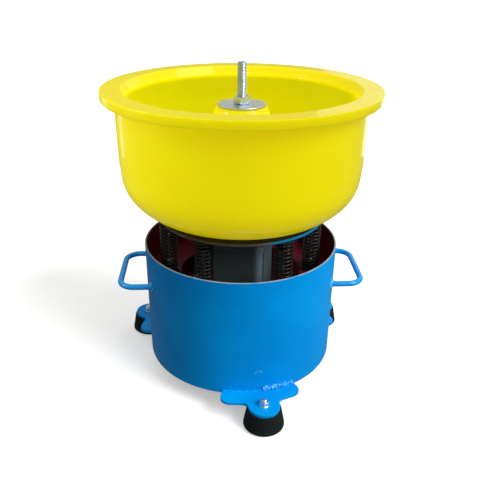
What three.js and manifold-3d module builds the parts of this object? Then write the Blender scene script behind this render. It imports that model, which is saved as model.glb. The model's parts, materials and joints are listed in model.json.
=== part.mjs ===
// Vibratory rock tumbler: a polyurethane bowl clamped on a plate that rides on springs in a steel drum,
// shaken by two eccentric weights on the shaft of a motor hung under the plate.
// Millimetres, +Z up. The feet stand on z = 0 and the front foot points to -Y.
import * as THREE from 'three';
import { mergeVertices } from 'three/addons/utils/BufferGeometryUtils.js';
import Module from 'manifold-3d';

const wasm = await Module();
wasm.setup();

// ---------- driving dimensions ----------
const gap = 0.3;                // between pieces that touch
const machineTurn = 3;          // degrees: handles and springs about the drum's axis

const drumRadius = 150;
const drumHeight = 191;
const drumWall = 3;
const shelfTopHeight = 135;     // above the drum's lower edge
const shelfThickness = 4;
const shelfLand = 1;            // shelf inside the spring seats

const footHeight = 30.7;
const footTopRadius = 25.5;
const footBottomRadius = 30.5;
const footStandOff = 33.5;      // foot's axis from the drum's wall
const footAngles = { front: -78.5, right: 35, left: 155 };
const lugThickness = 5;
const lugTabRadius = 23.5;
const lugReach = 26;            // how far a lug's wings stand out from the drum
const lugHalfAngle = 21.5;
const lugCorner = 14;
const lugFillet = 10;
const studRadius = 3.9;
const studDepth = 14;
const footNutFlats = 13;
const footNutHeight = 6.8;

const handleRodRadius = 4.5;
const handleSpacing = 114.8;    // between the legs' centrelines
const handleStandOff = 37.5;    // grip centreline from the drum's wall
const handleBend = 22;
const handleHeight = 135.7;     // above the drum's lower edge

const springGap = 100;          // shelf's top to the plate's underside
const springCount = 6;
const springOuterRadius = 13.8;
const springWire = 2.8;
const springPitch = 6;
const seatFlangeRadius = 17;
const seatFlangeThickness = 2.5;
const seatSpigotHeight = 13;
const seatClearance = 1.6;      // spigot to the inside of the spring

const plateInset = 22.5;        // plate's edge inside the drum's outside
const plateThickness = 4;
const rodRadius = 6.85;
const rodAboveBowl = 32.3;      // rod's end above the rim of the bowl
const bossRadius = 15;
const bossHeight = 9;

const bowlRadius = 178.3;       // outside, under the flange
const bowlDraft = 2.1;          // how much narrower the wall is at its foot
const bowlHeight = 185.5;
const bowlWall = 10;
const bowlFilletUp = 67;
const rimFlange = 18.5;         // how far the flange stands out from the wall
const rimThickness = 13;
const rimRound = 3;             // under the flange's outer edge
const rimEdge = 1;
const lipInset = 6.5;           // how far the lip stands in from the wall, inside
const lipDepth = 13;
const lipBlend = 35;
const coneTopRadius = 36;
const coneTopBelowRim = 27.8;
const coneRound = 1.5;
const collarFlare = 4;          // how much the cone widens down its collar
const collarDepth = 8;
const coneSlope = 13.2;         // degrees from upright, below the collar
const coneFillet = 18;
const floorLand = 1.1;          // flat floor between the cone's fillet and the wall's
const coneCapThickness = 12;

const washerInset = 1.3;        // washer's edge inside the cone's top
const washerThickness = 3;
const nutFlats = 21;
const nutHeight = 10.5;
const nutTurn = -14;            // degrees, the nut's own angle at rest

const motorWidth = 90;
const motorCorner = 14;
const motorTurn = -14;          // degrees
const motorDrop = 38.7;         // plate's underside to the motor's top
const housingHeight = 72;
const shieldThickness = 12;
const housingWall = 5;
const statorDepth = 15;         // housing's bore to the rotor
const motorStudInset = 10;      // stud's axis from the motor's side
const motorStudRadius = 2.8;
const motorCollarRadius = 6;
const motorStudHead = 5;
const motorStudHeadHeight = 5;
const shaftRadius = 7.5;
const shaftAbove = 25;          // shaft's ends beyond the motor's faces
const shaftBelow = 37;
const bearingRadius = 17.5;
const bearingWidth = 9;
const stackHeight = 46;
const airGap = 0.5;
const coilHeight = 7;

const upperWeightClearance = 5.5; // to the studs' collars
const upperWeightThickness = 16;
const upperWeightLift = 6;      // above the motor's top
const lowerWeightRadius = 46;
const lowerWeightThickness = 14;
const lowerWeightDrop = 14;     // motor's lower face to the weight's top
const weightHubRadius = 15;
const weightHalfAngle = 82;
const clampScrewRadius = 3;

const glandAngle = 93;
const glandHeight = 38;         // above the drum's lower edge
const glandThreadRadius = 8;
const glandFlats = 22;
const glandBore = 4;
const capacitorAngle = 128;
const capacitorRadius = 17.5;
const capacitorHeight = 58;
const capacitorFoot = 42;       // above the drum's lower edge
const clipThickness = 1.5;
const clipHeight = 18;

const roundSteps = 48;          // facets round the large turned pieces
const motorSteps = 24;
const smallSteps = 20;
const seatSteps = 12;
const lugSteps = 6;

// ---------- levels and places that follow from them ----------
const drumBottom = footHeight + gap;
const drumTop = drumBottom + drumHeight;
const shelfTop = drumBottom + shelfTopHeight;
const plateBottom = shelfTop + springGap;
const plateTop = plateBottom + plateThickness;
const bowlBottom = plateTop + gap;
const rimTop = bowlBottom + bowlHeight;
const coneTop = rimTop - coneTopBelowRim;
const rodTop = rimTop + rodAboveBowl;
const washerBottom = coneTop + gap;
const nutBottom = washerBottom + washerThickness + gap;
const lugTop = drumBottom + lugThickness;
const motorTop = plateBottom - motorDrop;
const motorBottom = motorTop - housingHeight - 2 * shieldThickness;
const housingTop = motorTop - shieldThickness;
const housingBottom = motorBottom + shieldThickness;
const stackMiddle = (housingTop + housingBottom) / 2;
const shaftTop = motorTop + shaftAbove;
const shaftBottom = motorBottom - shaftBelow;
const footCircle = drumRadius + footStandOff;
const rimRadius = bowlRadius + rimFlange;
const plateRadius = drumRadius - plateInset;
const springCentreRadius = springOuterRadius - springWire / 2;
const springCircle = plateRadius - springOuterRadius;
const shelfHoleRadius = springCircle - seatFlangeRadius - shelfLand;
const washerRadius = coneTopRadius - washerInset;
const housingBore = motorWidth / 2 - housingWall;
const rotorRadius = housingBore - statorDepth;
const motorStudSpacing = motorWidth - 2 * motorStudInset;
const upperWeightRadius = motorStudSpacing / Math.SQRT2 - motorCollarRadius - upperWeightClearance;
const frontReach = footCircle * Math.sin(radians(-footAngles.front)) + footBottomRadius;
const axisOffset = (frontReach - rimRadius) / 2;

// ---------- materials ----------
function material(name, color, roughness, metalness) {
  return new THREE.MeshStandardMaterial({ name, color, roughness, metalness });
}

const finish = {
  polyurethane: material('polyurethane', 0xe0d400, 0.3, 0),
  bluePaint: material('blue_paint', 0x0a6fb4, 0.35, 0.1),
  darkPaint: material('dark_paint', 0x14161a, 0.4, 0.1),
  zinc: material('zinc', 0xb8bbbd, 0.35, 0.9),
  springSteel: material('spring_steel', 0x0c0c0e, 0.25, 0.4),
  motorPaint: material('motor_paint', 0x1e2c30, 0.5, 0.2),
  copper: material('copper', 0xa35a2a, 0.4, 0.6),
  steel: material('steel', 0x8c9094, 0.35, 0.9),
  castIron: material('cast_iron', 0x3a3c3f, 0.7, 0.4),
  rubber: material('rubber', 0x101012, 0.9, 0),
  plastic: material('black_plastic', 0x18181a, 0.6, 0),
};

// ---------- helpers ----------
function radians(degrees) {
  return degrees * Math.PI / 180;
}

// Welds shared corners and drops the triangles that collapse on a turned shape's axis.
function closed(geometry) {
  const bare = geometry.clone();
  bare.deleteAttribute('normal');
  bare.deleteAttribute('uv');
  const welded = mergeVertices(bare, 1e-4);
  const index = welded.index.array;
  const kept = [];
  for (let i = 0; i < index.length; i += 3) {
    const [a, b, c] = [index[i], index[i + 1], index[i + 2]];
    if (a !== b && b !== c && c !== a) kept.push(a, b, c);
  }
  welded.setIndex(kept);
  return welded;
}

function toSolid(geometry) {
  const welded = closed(geometry);
  const vertProperties = new Float32Array(welded.attributes.position.array);
  const triVerts = new Uint32Array(welded.index.array);
  return new wasm.Manifold(new wasm.Mesh({ numProp: 3, vertProperties, triVerts }));
}

function toGeometry(solid) {
  const mesh = solid.getMesh();
  const geometry = new THREE.BufferGeometry();
  geometry.setAttribute('position', new THREE.BufferAttribute(mesh.vertProperties, 3));
  geometry.setIndex(new THREE.BufferAttribute(mesh.triVerts, 1));
  return geometry;
}

function cut(geometry, ...tools) {
  let solid = toSolid(geometry);
  for (const tool of tools) solid = solid.subtract(toSolid(tool));
  return toGeometry(solid);
}

function join(geometry, ...others) {
  let solid = toSolid(geometry);
  for (const other of others) solid = solid.add(toSolid(other));
  return toGeometry(solid);
}

// A closed or axis-to-axis outline of [radius, height] pairs turned about Z.
function turned(outline, steps = roundSteps) {
  const onAxis = outline[0][0] === 0 && outline.at(-1)[0] === 0;
  const loop = onAxis ? [...outline] : [...outline, outline[0]];
  let area = 0;
  for (let i = 0; i < outline.length; i += 1) {
    const [r0, z0] = outline[i];
    const [r1, z1] = outline[(i + 1) % outline.length];
    area += r0 * z1 - r1 * z0;
  }
  if (area < 0) loop.reverse();
  const points = loop.map(([r, z]) => new THREE.Vector2(r, z));
  return closed(new THREE.LatheGeometry(points, steps).rotateX(Math.PI / 2));
}

function ring(inner, outer, bottom, top, steps = roundSteps) {
  return turned([[inner, bottom], [outer, bottom], [outer, top], [inner, top]], steps);
}

function rod(radius, bottom, top, steps = smallSteps) {
  return turned([[0, bottom], [radius, bottom], [radius, top], [0, top]], steps);
}

function extruded(shape, bottom, top, curveSegments = 6) {
  const geometry = new THREE.ExtrudeGeometry(shape, { depth: top - bottom, bevelEnabled: false, curveSegments });
  return closed(geometry.translate(0, 0, bottom));
}

function roundHole(shape, radius, x = 0, y = 0) {
  const hole = new THREE.Path();
  hole.absarc(x, y, radius, 0, 2 * Math.PI, true);
  shape.holes.push(hole);
}

function hexagon(flats) {
  const corner = flats / Math.sqrt(3);
  const shape = new THREE.Shape();
  for (let i = 0; i < 6; i += 1) {
    const angle = radians(60 * i);
    const place = [corner * Math.cos(angle), corner * Math.sin(angle)];
    if (i === 0) shape.moveTo(...place);
    else shape.lineTo(...place);
  }
  shape.closePath();
  return shape;
}

function hexNut(flats, boreRadius, bottom, top) {
  const shape = hexagon(flats);
  roundHole(shape, boreRadius);
  return extruded(shape, bottom, top, smallSteps / 2);
}

function roundedSquare(width, corner) {
  const half = width / 2;
  const inner = half - corner;
  const shape = new THREE.Shape();
  shape.absarc(inner, inner, corner, 0, Math.PI / 2);
  shape.absarc(-inner, inner, corner, Math.PI / 2, Math.PI);
  shape.absarc(-inner, -inner, corner, Math.PI, 1.5 * Math.PI);
  shape.absarc(inner, -inner, corner, 1.5 * Math.PI, 2 * Math.PI);
  shape.closePath();
  return shape;
}

const assembly = new THREE.Group();
assembly.position.y = axisOffset;

function place(name, geometry, look, parent = assembly) {
  const mesh = new THREE.Mesh(geometry, look);
  mesh.name = name;
  parent.add(mesh);
  return mesh;
}

// A group turned about the drum's axis, with its own +X pointing outwards at that angle.
function turnedGroup(degrees, parent = assembly) {
  const group = new THREE.Group();
  group.rotation.z = radians(degrees);
  parent.add(group);
  return group;
}

// ---------- drum, shelf and what is fixed to the drum ----------
function drum() {
  const shell = ring(drumRadius - drumWall, drumRadius, drumBottom, drumTop);
  const hole = rod(glandThreadRadius + gap, drumRadius - 4 * drumWall, drumRadius + 4 * drumWall);
  hole.rotateY(Math.PI / 2).rotateZ(radians(glandAngle)).translate(0, 0, drumBottom + glandHeight);
  place('base_drum', cut(shell, hole), finish.bluePaint);
}

function shelf() {
  const outer = drumRadius - drumWall - gap;
  place('spring_shelf', ring(shelfHoleRadius, outer, shelfTop - shelfThickness, shelfTop), finish.bluePaint);
}

// A lug seen from above: two wings along the drum's wall, fillets and a round tab for the foot.
function lugShape() {
  const end = radians(lugHalfAngle);
  const inner = (drumRadius + gap) / Math.cos(end / lugSteps);
  const outer = drumRadius + lugReach;
  const cornerCentre = outer - lugCorner;
  const cornerAngle = end - Math.asin(lugCorner / cornerCentre);
  const filletCentre = outer + lugFillet;
  const reach = lugTabRadius + lugFillet;
  const filletX = (footCircle ** 2 + filletCentre ** 2 - reach ** 2) / (2 * footCircle);
  const filletY = Math.sqrt(filletCentre ** 2 - filletX ** 2);
  const filletAngle = Math.atan2(filletY, filletX);
  const tabAngle = Math.atan2(filletY, filletX - footCircle);
  const corner = [cornerCentre * Math.cos(cornerAngle), cornerCentre * Math.sin(cornerAngle)];
  const shape = new THREE.Shape();
  shape.absarc(0, 0, inner, end, -end, true);
  shape.absarc(corner[0], -corner[1], lugCorner, -end - Math.PI / 2, -cornerAngle);
  shape.absarc(0, 0, outer, -cornerAngle, -filletAngle);
  shape.absarc(filletX, -filletY, lugFillet, Math.PI - filletAngle, Math.PI - tabAngle, true);
  shape.absarc(footCircle, 0, lugTabRadius, -tabAngle, tabAngle);
  shape.absarc(filletX, filletY, lugFillet, tabAngle - Math.PI, filletAngle - Math.PI, true);
  shape.absarc(0, 0, outer, filletAngle, cornerAngle);
  shape.absarc(corner[0], corner[1], lugCorner, cornerAngle, end + Math.PI / 2);
  shape.closePath();
  roundHole(shape, studRadius + gap, footCircle, 0);
  return shape;
}

function foot(side, degrees) {
  const group = turnedGroup(degrees);
  place(`foot_lug_${side}`, extruded(lugShape(), drumBottom, lugTop, lugSteps), finish.bluePaint, group);
  const rubberOutline = [
    [0, 0],
    [footBottomRadius, 0],
    [footBottomRadius, 4],
    [footTopRadius, footHeight],
    [studRadius + gap, footHeight],
    [studRadius + gap, footHeight - studDepth],
    [0, footHeight - studDepth],
  ];
  const rubber = turned(rubberOutline, 24);
  place(`rubber_foot_${side}`, rubber, finish.rubber, group).position.x = footCircle;
  const nutTop = lugTop + gap + footNutHeight;
  const stud = rod(studRadius, footHeight - studDepth + gap, nutTop + 4);
  place(`foot_stud_${side}`, stud, finish.zinc, group).position.x = footCircle;
  const nut = hexNut(footNutFlats, studRadius + gap, lugTop + gap, nutTop);
  place(`foot_nut_${side}`, nut, finish.zinc, group).position.x = footCircle;
}

// The grip's centreline: out from the wall, round a bend, along the grip and back.
class HandleCurve extends THREE.CurvePath {
  constructor() {
    super();
    const half = handleSpacing / 2;
    const start = Math.sqrt(drumRadius ** 2 - half ** 2) - 2 * drumWall;
    const out = drumRadius + handleStandOff;
    const point = (x, y) => new THREE.Vector3(x, y, 0);
    this.add(new THREE.LineCurve3(point(start, -half), point(out - handleBend, -half)));
    this.add(new BendCurve(out - handleBend, -half + handleBend, -Math.PI / 2));
    this.add(new THREE.LineCurve3(point(out, -half + handleBend), point(out, half - handleBend)));
    this.add(new BendCurve(out - handleBend, half - handleBend, 0));
    this.add(new THREE.LineCurve3(point(out - handleBend, half), point(start, half)));
  }
}

class BendCurve extends THREE.Curve {
  constructor(x, y, startAngle) {
    super();
    Object.assign(this, { x, y, startAngle });
  }

  getPoint(t, target = new THREE.Vector3()) {
    const angle = this.startAngle + t * Math.PI / 2;
    return target.set(this.x + handleBend * Math.cos(angle), this.y + handleBend * Math.sin(angle), 0);
  }
}

function roundSection(radius, sides) {
  const shape = new THREE.Shape();
  for (let i = 0; i < sides; i += 1) {
    const angle = 2 * Math.PI * i / sides;
    const corner = [radius * Math.cos(angle), radius * Math.sin(angle)];
    if (i === 0) shape.moveTo(...corner);
    else shape.lineTo(...corner);
  }
  shape.closePath();
  return shape;
}

function handle(side, degrees) {
  const group = turnedGroup(degrees);
  const path = { steps: 28, bevelEnabled: false, extrudePath: new HandleCurve() };
  const bar = new THREE.ExtrudeGeometry(roundSection(handleRodRadius, 8), path);
  const clearRadius = (drumRadius + gap) / Math.cos(Math.PI / roundSteps);
  const wall = rod(clearRadius, -2 * handleRodRadius, 2 * handleRodRadius, roundSteps);
  const mesh = place(`carry_handle_${side}`, cut(bar, wall), finish.bluePaint, group);
  mesh.position.z = drumBottom + handleHeight;
}

function gland() {
  const group = turnedGroup(glandAngle);
  group.position.z = drumBottom + glandHeight;
  const nutCorner = glandFlats / Math.sqrt(3);
  const nutStart = Math.sqrt((drumRadius - drumWall) ** 2 - nutCorner ** 2) - 2 * gap;
  const flange = drumRadius + gap;
  const across = (shape, from, to) => extruded(shape, from, to, smallSteps / 2).rotateY(Math.PI / 2);
  const dome = turned([[glandBore, flange + 7], [glandFlats * 0.45, flange + 7], [glandFlats * 0.45, flange + 12],
    [glandBore + 2, flange + 17], [glandBore, flange + 17]], 16).rotateY(Math.PI / 2);
  const thread = ring(glandBore, glandThreadRadius, nutStart - 8, flange + 1, 16).rotateY(Math.PI / 2);
  const collar = hexagon(glandFlats);
  roundHole(collar, glandBore);
  place('cable_gland', join(across(collar, flange, flange + 7), dome, thread), finish.plastic, group);
  const locknut = hexagon(glandFlats);
  roundHole(locknut, glandThreadRadius + gap);
  place('gland_locknut', across(locknut, nutStart - 5, nutStart), finish.plastic, group);
}

function capacitor() {
  const group = turnedGroup(capacitorAngle);
  const wall = drumRadius - drumWall - gap;
  const centre = wall - clipThickness - gap - capacitorRadius - 4;
  const bottom = drumBottom + capacitorFoot;
  const can = turned([[0, bottom], [capacitorRadius, bottom], [capacitorRadius, bottom + capacitorHeight],
    [5, bottom + capacitorHeight], [5, bottom + capacitorHeight + 6], [0, bottom + capacitorHeight + 6]], 28);
  place('run_capacitor', can, finish.plastic, group).position.x = centre;
  const band = new THREE.Shape();
  const inner = capacitorRadius + gap;
  band.absarc(centre, 0, inner + clipThickness, radians(200), radians(520));
  band.absarc(centre, 0, inner, radians(160), radians(-160), true);
  band.closePath();
  const block = new THREE.Shape();
  block.moveTo(centre + inner + clipThickness / 2, -6);
  block.lineTo(wall - 0.4, -6);
  block.lineTo(wall - 0.4, 6);
  block.lineTo(centre + inner + clipThickness / 2, 6);
  block.closePath();
  const middle = bottom + capacitorHeight / 2;
  const levels = [middle - clipHeight / 2, middle + clipHeight / 2];
  const hole = rod(inner, levels[0] - 1, levels[1] + 1, 24).translate(centre, 0, 0);
  const clip = cut(join(extruded(band, ...levels, 14), extruded(block, ...levels)), hole);
  place('capacitor_clip', clip, finish.zinc, group);
}

// ---------- springs and their seats ----------
// Centreline of a compression spring: a closed turn at each end and an even pitch between.
class SpringCurve extends THREE.Curve {
  constructor(length) {
    super();
    this.rise = length - springWire;
    this.closedRise = springWire + 2 * gap;
    this.openTurns = Math.round((this.rise - 2 * this.closedRise) / springPitch);
    this.turns = this.openTurns + 2;
  }

  getPoint(t, target = new THREE.Vector3()) {
    const turn = t * this.turns;
    const openRise = this.rise - 2 * this.closedRise;
    const open = Math.min(Math.max(turn - 1, 0), this.openTurns);
    const shut = Math.min(turn, 1) + Math.max(turn - 1 - this.openTurns, 0);
    const height = shut * this.closedRise + open * openRise / this.openTurns;
    const angle = 2 * Math.PI * turn;
    return target.set(springCentreRadius * Math.cos(angle), springCentreRadius * Math.sin(angle), height);
  }
}

function seatOutline(spigotHeight) {
  const spigot = springOuterRadius - springWire - seatClearance;
  return [
    [0, 0],
    [seatFlangeRadius, 0],
    [seatFlangeRadius, seatFlangeThickness],
    [spigot, seatFlangeThickness],
    [spigot, seatFlangeThickness + spigotHeight - 2],
    [spigot - 2, seatFlangeThickness + spigotHeight],
    [0, seatFlangeThickness + spigotHeight],
  ];
}

function springSet() {
  const springBottom = shelfTop + 2 * gap + seatFlangeThickness;
  const springTop = plateBottom - 2 * gap - seatFlangeThickness;
  const curve = new SpringCurve(springTop - springBottom);
  const steps = curve.turns * 7;
  const path = { steps, bevelEnabled: false, extrudePath: curve };
  const coil = closed(new THREE.ExtrudeGeometry(roundSection(springWire / 2, 4), path));
  const seat = turned(seatOutline(seatSpigotHeight), seatSteps);
  const hanging = seat.clone().rotateX(Math.PI);
  for (let i = 0; i < springCount; i += 1) {
    const group = turnedGroup(machineTurn + i * 360 / springCount);
    const add = (name, geometry, look, height) => {
      place(name, geometry, look, group).position.set(springCircle, 0, height);
    };
    add(`spring_${i + 1}`, coil, finish.springSteel, springBottom + springWire / 2);
    add(`lower_seat_${i + 1}`, seat, finish.darkPaint, shelfTop + gap);
    add(`upper_seat_${i + 1}`, hanging, finish.darkPaint, plateBottom - gap);
  }
}

// ---------- carrier plate, rod and clamp ----------
function motorStudPlaces() {
  const half = motorStudSpacing / 2;
  return [[half, half], [-half, half], [-half, -half], [half, -half]];
}

function carrierPlate() {
  const plate = ring(rodRadius + gap, plateRadius, plateBottom, plateTop);
  const holes = motorStudPlaces().map(([x, y]) => (
    rod(motorStudRadius + gap, plateBottom - 1, plateTop + 1, 8).translate(x, y, 0)
      .rotateZ(radians(motorTurn))
  ));
  place('carrier_plate', cut(plate, ...holes), finish.darkPaint);
}

function rodAndClamp() {
  const rodBottom = plateBottom - bossHeight;
  const chamfer = 1.2;
  const stud = turned([[0, rodBottom], [rodRadius, rodBottom], [rodRadius, rodTop - chamfer],
    [rodRadius - chamfer, rodTop], [0, rodTop]], 24);
  place('centre_rod', stud, finish.zinc);
  const boss = ring(rodRadius + gap, bossRadius, rodBottom, plateBottom - gap, 24);
  place('rod_boss', boss, finish.darkPaint);
  const washer = ring(rodRadius + 2 * gap, washerRadius, washerBottom, washerBottom + washerThickness, 48);
  place('clamp_washer', washer, finish.zinc);
  const nut = hexNut(nutFlats, rodRadius + gap, nutBottom, nutBottom + nutHeight);
  place('clamp_nut', nut, finish.zinc, turnedGroup(nutTurn));
}

// ---------- bowl ----------
// Points of an ellipse's quarter from straight down to straight outwards.
function filletPoints(centreR, centreZ, across, up, count) {
  return Array.from({ length: count }, (_, i) => {
    const angle = -Math.PI / 2 + (Math.PI / 2) * i / (count - 1);
    return [centreR + across * Math.cos(angle), centreZ + up * Math.sin(angle)];
  });
}

function bowlOutline() {
  const footRadius = bowlRadius - bowlDraft;
  const filletZ = bowlBottom + bowlFilletUp;
  const slope = radians(coneSlope);
  const flangeBottom = rimTop - rimThickness;
  const floor = bowlBottom + bowlWall;
  const innerRadius = bowlRadius - bowlWall;
  const collarFoot = coneTop - collarDepth;
  const collarRadius = coneTopRadius + collarFlare;
  const coneRadius = (z) => collarRadius + (collarFoot - z) * Math.tan(slope);
  const coneCentreZ = floor + coneFillet;
  const coneCentreR = coneRadius(coneCentreZ) + coneFillet / Math.cos(slope);
  const flatRadius = coneCentreR + floorLand;
  const across = footRadius - flatRadius;
  const hollow = (z) => coneRadius(z) - bowlWall / Math.cos(slope);
  const hollowTop = coneTop - coneCapThickness;
  const coneArc = Array.from({ length: 4 }, (_, i) => {
    const angle = 1.5 * Math.PI - (Math.PI / 2 - slope) * i / 3;
    return [coneCentreR + coneFillet * Math.cos(angle), coneCentreZ + coneFillet * Math.sin(angle)];
  });
  return [
    [hollow(bowlBottom), bowlBottom],
    ...filletPoints(flatRadius, filletZ, across, bowlFilletUp, 7),
    [bowlRadius, flangeBottom],
    [rimRadius - rimRound, flangeBottom],
    [rimRadius, flangeBottom + rimRound],
    [rimRadius, rimTop - rimEdge],
    [rimRadius - rimEdge, rimTop],
    [innerRadius + rimEdge, rimTop],
    [innerRadius, rimTop - rimEdge],
    [innerRadius - lipInset, rimTop - lipDepth],
    [innerRadius, rimTop - lipDepth - lipBlend],
    ...filletPoints(flatRadius, filletZ, across - bowlWall, bowlFilletUp - bowlWall, 7).reverse(),
    ...coneArc,
    [collarRadius, collarFoot],
    [coneTopRadius, coneTop - coneRound],
    [coneTopRadius - coneRound, coneTop],
    [rodRadius + 1, coneTop],
    [rodRadius + 1, hollowTop],
    [hollow(hollowTop), hollowTop],
  ];
}

// ---------- motor ----------
function motorFace(boreRadius) {
  const shape = roundedSquare(motorWidth, motorCorner);
  roundHole(shape, boreRadius);
  for (const [x, y] of motorStudPlaces()) roundHole(shape, motorStudRadius + gap, x, y);
  return shape;
}

// An end shield: a square cover with a stepped bore that holds the bearing from the inner face.
function endShield(innerFace, outerFace) {
  const shield = extruded(motorFace(shaftRadius + 3), Math.min(innerFace, outerFace), Math.max(innerFace, outerFace));
  const inwards = Math.sign(innerFace - outerFace);
  const pocketEnd = innerFace - inwards * (bearingWidth + gap);
  const levels = [pocketEnd, innerFace + inwards].sort((a, b) => a - b);
  return cut(shield, rod(bearingRadius + gap, levels[0], levels[1], motorSteps));
}

function motor() {
  const group = turnedGroup(motorTurn);
  const stackTop = stackMiddle + stackHeight / 2;
  const stackBottom = stackMiddle - stackHeight / 2;
  const bodyLevels = [housingBottom + gap, housingTop - gap];
  place('motor_housing', extruded(motorFace(housingBore), ...bodyLevels, 12), finish.motorPaint, group);
  place('motor_upper_shield', endShield(housingTop, motorTop), finish.motorPaint, group);
  place('motor_lower_shield', endShield(housingBottom, motorBottom), finish.motorPaint, group);

  const statorInner = rotorRadius + airGap;
  const stator = turned([[statorInner, stackBottom], [statorInner + 2, stackBottom - coilHeight],
    [housingBore - 6, stackBottom - coilHeight], [housingBore - 4, stackBottom], [housingBore - gap, stackBottom],
    [housingBore - gap, stackTop], [housingBore - 4, stackTop], [housingBore - 6, stackTop + coilHeight],
    [statorInner + 2, stackTop + coilHeight], [statorInner, stackTop]], motorSteps);
  place('stator', stator, finish.copper, group);

  const upperBearing = ring(shaftRadius + gap, bearingRadius, housingTop, housingTop + bearingWidth, motorSteps);
  place('upper_bearing', upperBearing, finish.steel, group);
  const lowerBearing = ring(shaftRadius + gap, bearingRadius, housingBottom - bearingWidth, housingBottom, motorSteps);
  place('lower_bearing', lowerBearing, finish.steel, group);

  motorStudPlaces().forEach(([x, y], i) => {
    const headBottom = motorBottom - gap - motorStudHeadHeight;
    const stud = turned([[0, headBottom], [motorStudHead, headBottom], [motorStudHead, motorBottom - gap],
      [motorStudRadius, motorBottom - gap], [motorStudRadius, motorTop + gap], [motorCollarRadius, motorTop + gap],
      [motorCollarRadius, plateBottom - gap], [motorStudRadius, plateBottom - gap],
      [motorStudRadius, plateTop - gap], [0, plateTop - gap]], 8);
    place(`motor_stud_${i + 1}`, stud, finish.zinc, group).position.set(x, y, 0);
  });

  place('motor_shaft', rod(shaftRadius, shaftBottom, shaftTop, motorSteps), finish.steel, group);
  place('rotor_core', ring(shaftRadius + gap, rotorRadius, stackBottom, stackTop, motorSteps), finish.castIron, group);
}

// ---------- eccentric weights ----------
// A heavy sector on one side of a small round hub, with a cross hole for the clamp screw.
function weight(name, radius, bottom, top, degrees) {
  const group = turnedGroup(degrees);
  const half = radians(weightHalfAngle);
  const shape = new THREE.Shape();
  shape.absarc(0, 0, radius, -half, half);
  shape.absarc(0, 0, weightHubRadius, half, 2 * Math.PI - half);
  shape.closePath();
  roundHole(shape, shaftRadius + gap);
  const middle = (bottom + top) / 2;
  const across = (geometry) => geometry.rotateY(-Math.PI / 2).translate(0, 0, middle);
  const hole = across(rod(clampScrewRadius + gap, shaftRadius - 1, weightHubRadius + 1, 8));
  place(name, cut(extruded(shape, bottom, top, 12), hole), finish.castIron, group);
  const screw = across(rod(clampScrewRadius, shaftRadius + 2 * gap, weightHubRadius - 0.5, 8));
  place(`${name}_screw`, screw, finish.zinc, group);
}

drum();
shelf();
for (const [side, degrees] of Object.entries(footAngles)) foot(side, degrees);
handle('right', machineTurn);
handle('left', machineTurn + 180);
gland();
capacitor();
springSet();
carrierPlate();
rodAndClamp();
place('tumbling_bowl', turned(bowlOutline()), finish.polyurethane);
motor();
const upperWeightBottom = motorTop + upperWeightLift;
weight('upper_weight', upperWeightRadius, upperWeightBottom, upperWeightBottom + upperWeightThickness, -60);
const lowerWeightTop = motorBottom - lowerWeightDrop;
weight('lower_weight', lowerWeightRadius, lowerWeightTop - lowerWeightThickness, lowerWeightTop, 30);

export default assembly;
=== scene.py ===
import json
import math

import bmesh
import bpy
import numpy as np
from mathutils import Matrix, Vector
from mathutils.geometry import delaunay_2d_cdt

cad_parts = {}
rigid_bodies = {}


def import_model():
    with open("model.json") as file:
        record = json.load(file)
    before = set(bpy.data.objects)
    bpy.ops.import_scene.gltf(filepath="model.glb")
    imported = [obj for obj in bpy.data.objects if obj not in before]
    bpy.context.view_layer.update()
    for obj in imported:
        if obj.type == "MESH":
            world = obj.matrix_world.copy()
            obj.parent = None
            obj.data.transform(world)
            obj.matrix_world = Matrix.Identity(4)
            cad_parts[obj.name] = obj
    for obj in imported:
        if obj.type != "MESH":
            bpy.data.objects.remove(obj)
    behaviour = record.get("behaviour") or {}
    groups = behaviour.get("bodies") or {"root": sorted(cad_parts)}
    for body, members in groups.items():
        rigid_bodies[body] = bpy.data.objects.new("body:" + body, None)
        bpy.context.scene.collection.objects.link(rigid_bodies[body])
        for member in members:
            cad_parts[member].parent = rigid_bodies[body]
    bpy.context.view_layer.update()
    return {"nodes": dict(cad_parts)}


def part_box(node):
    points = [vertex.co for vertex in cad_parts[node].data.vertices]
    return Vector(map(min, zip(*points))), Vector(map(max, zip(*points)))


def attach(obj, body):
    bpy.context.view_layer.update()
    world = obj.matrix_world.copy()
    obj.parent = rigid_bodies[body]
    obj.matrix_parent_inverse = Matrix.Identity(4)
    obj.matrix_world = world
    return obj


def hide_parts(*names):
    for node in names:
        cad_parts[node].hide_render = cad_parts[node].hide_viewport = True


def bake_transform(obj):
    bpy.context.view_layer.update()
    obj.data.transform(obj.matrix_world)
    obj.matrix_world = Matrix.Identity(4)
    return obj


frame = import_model()
scene = bpy.context.scene
scene.view_settings.view_transform = "Standard"
print("frame loaded:", len(frame["nodes"]), "nodes")


# places read from the frame

def boxOf(node):
    low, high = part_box(node)
    return np.array(low, float), np.array(high, float)


def radiusOf(node):
    low, high = boxOf(node)
    return (high[0] - low[0]) / 2


drumLow, drumHigh = boxOf("base_drum")
axisX = (drumLow[0] + drumHigh[0]) / 2
axisY = (drumLow[1] + drumHigh[1]) / 2
drumRadius = radiusOf("base_drum")
plateLow, plateHigh = boxOf("carrier_plate")
bowlLow, bowlHigh = boxOf("tumbling_bowl")
housingLow, housingHigh = boxOf("motor_housing")
contactGap = 0.0003        # between pieces that touch
machineTurn = 3            # degrees, handles and springs about the drum's axis
motorTurn = -14


def angleOf(node):
    low, high = boxOf(node)
    middle = (low + high) / 2
    return math.degrees(math.atan2(middle[1] - axisY, middle[0] - axisX))


def distanceOf(node):
    low, high = boxOf(node)
    middle = (low + high) / 2
    return math.hypot(middle[1] - axisY, middle[0] - axisX)


# camera: level with the height and slope that show the bowl's mouth and the drum's side

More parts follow.
